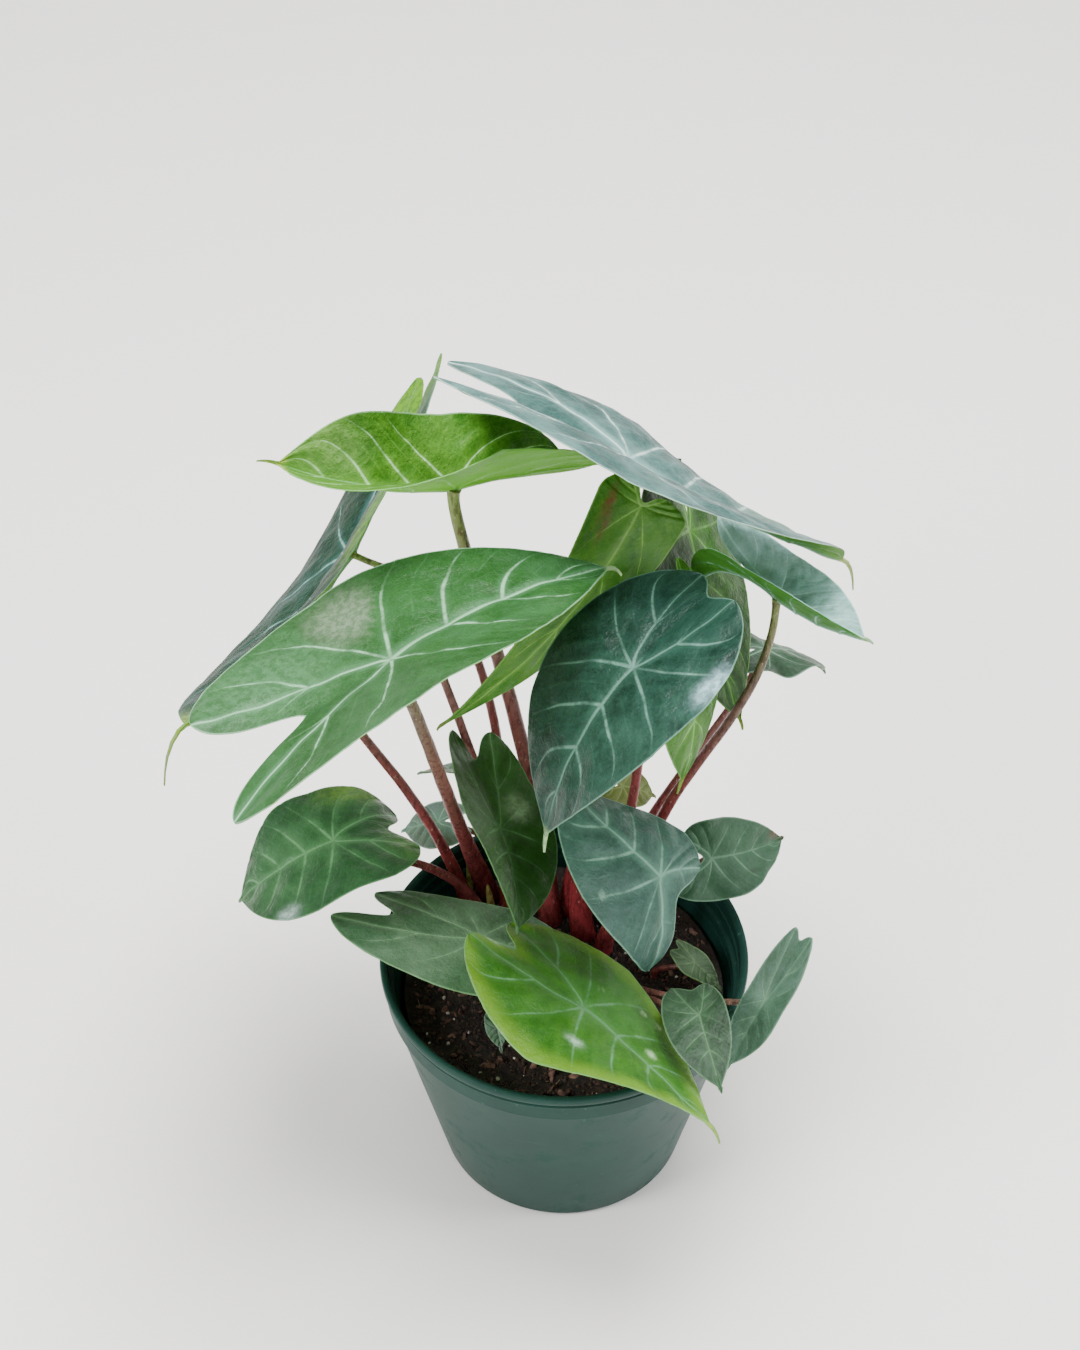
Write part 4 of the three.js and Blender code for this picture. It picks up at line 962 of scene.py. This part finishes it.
# what lies on the soil: how many a square metre, sizes in mm, and the lump's stretch, seed and detail
crumbs = {
    "peat": {"Density": 200000.0, "Smallest": 0.6, "Largest": 2.4, "Seed": 3,
             "colours": ("1c120d", "543c30"), "lump": ((1.2, 1.0, 0.8), 3, 1)},
    "bark": {"Density": 26000.0, "Smallest": 1.8, "Largest": 5.2, "Seed": 8,
             "colours": ("38241e", "8a6658"), "lump": ((1.9, 0.8, 0.4), 9, 1)},
    "fibre": {"Density": 1800.0, "Smallest": 1.0, "Largest": 2.0, "Seed": 33,
              "colours": ("5c4a34", "b09c78"), "lump": ((6.5, 0.3, 0.3), 14, 2)},
    "perlite": {"Density": 6500.0, "Smallest": 0.7, "Largest": 2.2, "Seed": 21,
                "colours": ("b7ada0", "e8e4dc"), "lump": ((1.0, 1.1, 0.9), 5, 1)},
}


def soilHeight(x, y):
    spot = Vector((x * 0.05, y * 0.05, 1.7))
    broad = noise.noise(spot)
    small = noise.noise(spot * 5.1) * 0.45 + noise.noise(spot * 13.0) * 0.5
    small = small + abs(noise.noise(spot * 21.0)) * 0.5
    cx, cy, reachX, reachY = soilShape["mound"]
    mound = soilShape["rise"] * math.exp(-(((x - cx) / reachX) ** 2 + ((y - cy) / reachY) ** 2))
    return soilShape["level"] - 1.2 + soilShape["lump"] * (broad * 0.5 + small * 0.5) + mound


def makeSoilMaterial(name, colours, gloss, grainSize):
    finish, tree, shader = material(name)
    spot = objectSpot(tree)
    patch = fade(tree, grainy(tree, spot, grainSize, 4.0, 0.7), 0.35, 0.68)
    plain = blend(tree, patch, *(tone(code) for code in colours))
    wet = fade(tree, grainy(tree, spot, 38.0), 0.42, 0.62)
    dark = blend(tree, 1.0, plain, tone(soilShape["wet"]), "MULTIPLY")
    colour = layered(tree, plain, (wet, 0.45, dark))
    rough = weighed(tree, gloss, (wet, -0.25))
    dress(tree, shader, colour, rough, grainy(tree, spot, 700.0, 4.0, 0.7), 0.4, 0.9)
    return finish


def makeSoil():
    shape, pot = soilShape, potShape

    def wallRadius(height):
        widening = (pot["rimRadius"] - pot["baseRadius"] - shape["taper"]) * height / shape["shoulder"]
        return pot["baseRadius"] - pot["wall"] - shape["wallGap"] + widening

    edge = wallRadius(shape["level"])
    points = [(0, 0, soilHeight(0, 0))]
    n = shape["segments"]
    for k in range(1, shape["rings"] + 1):
        ring = ringPoints(edge * (k / shape["rings"]) ** 0.9, 0, n)
        points += [(x, y, soilHeight(x, y)) for x, y, z in ring]
    under = len(points)
    points += ringPoints(wallRadius(shape["bottom"]), shape["bottom"], n) + [(0, 0, shape["bottom"])]
    faces = [[0, 1 + j, 1 + (j + 1) % n] for j in range(n)]
    for a in range(1, under, n):
        faces += [[a + j, a + n + j, a + n + (j + 1) % n, a + (j + 1) % n] for j in range(n)]
    faces += [[under + j, len(points) - 1, under + (j + 1) % n] for j in range(n)]
    mesh = meshOf("pottingSoil", np.array(points) * mm, faces)
    clear = edge - shape["bare"]
    crumbly = [i < under and math.hypot(x, y) < clear for i, (x, y, z) in enumerate(points)]
    painted(mesh, "crumbly", "FLOAT", crumbly)
    smoothed(mesh)
    return newObject("pottingSoil", mesh, makeSoilMaterial("soilMix", shape["colours"], 0.92, 260.0))


# one irregular lump, about 1 mm across
def makeLump(name, stretch, seed, level):
    build = bmesh.new()
    bmesh.ops.create_icosphere(build, subdivisions=level, radius=0.5 * mm)
    for corner in build.verts:
        push = 1 + 0.45 * noise.noise(corner.co * 1900 + Vector((seed, seed, seed)))
        corner.co = corner.co * Vector(stretch) * push
    return builtObject(name, build)


# Scatters a lump over a surface: points by density, each turned and sized at random
def makeScatter():
    tree = bpy.data.node_groups.new("scatter", "GeometryNodeTree")
    kinds = {"Geometry": "Geometry", "Density": "Float", "Smallest": "Float", "Largest": "Float",
             "Seed": "Int", "Lump": "Object", "Finish": "Material"}
    sockets = {}
    for title, kind in kinds.items():
        socket = tree.interface.new_socket(name=title, in_out="INPUT", socket_type="NodeSocket" + kind)
        sockets[title] = socket.identifier
    tree.interface.new_socket(name="Geometry", in_out="OUTPUT", socket_type="NodeSocketGeometry")
    given = add(tree, "NodeGroupInput").outputs
    crumbly = add(tree, "GeometryNodeInputNamedAttribute", {"Name": "crumbly"}, data_type="FLOAT")
    density = times(tree, given["Density"], crumbly.outputs["Attribute"])
    feeds = {"Mesh": given["Geometry"], "Density": density, "Seed": given["Seed"]}
    spread = add(tree, "GeometryNodeDistributePointsOnFaces", feeds, distribute_method="RANDOM")
    size = add(tree, "FunctionNodeRandomValue", {2: 0.0, "Seed": given["Seed"]}, data_type="FLOAT")
    span = calc(tree, "SUBTRACT", given["Largest"], given["Smallest"])
    scale = weighed(tree, given["Smallest"], (span, calc(tree, "POWER", size.outputs[1], 2.0)))
    feeds = {1: (6.28, 6.28, 6.28), "Seed": given["Seed"]}
    turn = add(tree, "FunctionNodeRandomValue", feeds, data_type="FLOAT_VECTOR")
    lump = add(tree, "GeometryNodeObjectInfo", {"Object": given["Lump"]})
    feeds = {"Points": spread.outputs["Points"], "Instance": lump.outputs["Geometry"],
             "Rotation": turn.outputs[0], "Scale": scale}
    stand = add(tree, "GeometryNodeInstanceOnPoints", feeds)
    real = add(tree, "GeometryNodeRealizeInstances", {0: stand.outputs[0]})
    paint = add(tree, "GeometryNodeSetMaterial", {"Geometry": real.outputs[0], "Material": given["Finish"]})
    add(tree, "NodeGroupOutput", {0: paint.outputs[0]})
    return tree, sockets


def scatterOver(surface, name, tree, sockets, lump, finish, values):
    carrier = newObject(name, surface.data.copy())
    scatter = carrier.modifiers.new("scatter", "NODES")
    scatter.node_group = tree
    for title in ("Density", "Smallest", "Largest", "Seed"):
        scatter[sockets[title]] = values[title]
    scatter[sockets["Lump"]] = lump
    scatter[sockets["Finish"]] = finish
    carrier.data.update()
    settled(carrier)
    smoothed(carrier.data, 35)
    return carrier


# onto the one body, and in place of its node where it has one
def placed(piece, node=None):
    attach(piece, "root")
    if node:
        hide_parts(node)


def makePlant():
    for leaf in leaves:
        blade = makeBlade(leaf)
        stalk = makeStalk(leaf)
        for piece, node in ((blade, "blade_" + leaf["name"]), (stalk, "stalk_" + leaf["name"])):
            placed(piece, node)
    for index, shoot in enumerate(shoots):
        placed(makeShoot(index, shoot))
    print("plant ready", len(leaves), "leaves and", len(shoots), "shoots")


def makeGround():
    placed(makePot(), "pot")
    soil = makeSoil()
    placed(soil, "soil")
    tree, sockets = makeScatter()
    for name, values in crumbs.items():
        lump = makeLump(name + "Lump", *values["lump"])
        finish = makeSoilMaterial(name + "Crumb", values["colours"], 0.85, 180.0)
        piece = scatterOver(soil, name + "Crumbs", tree, sockets, lump, finish, values)
        placed(piece)
        bpy.data.objects.remove(lump)
        print(name, len(piece.data.polygons), "faces")
    print("pot and soil ready")


makePlant()
makeGround()
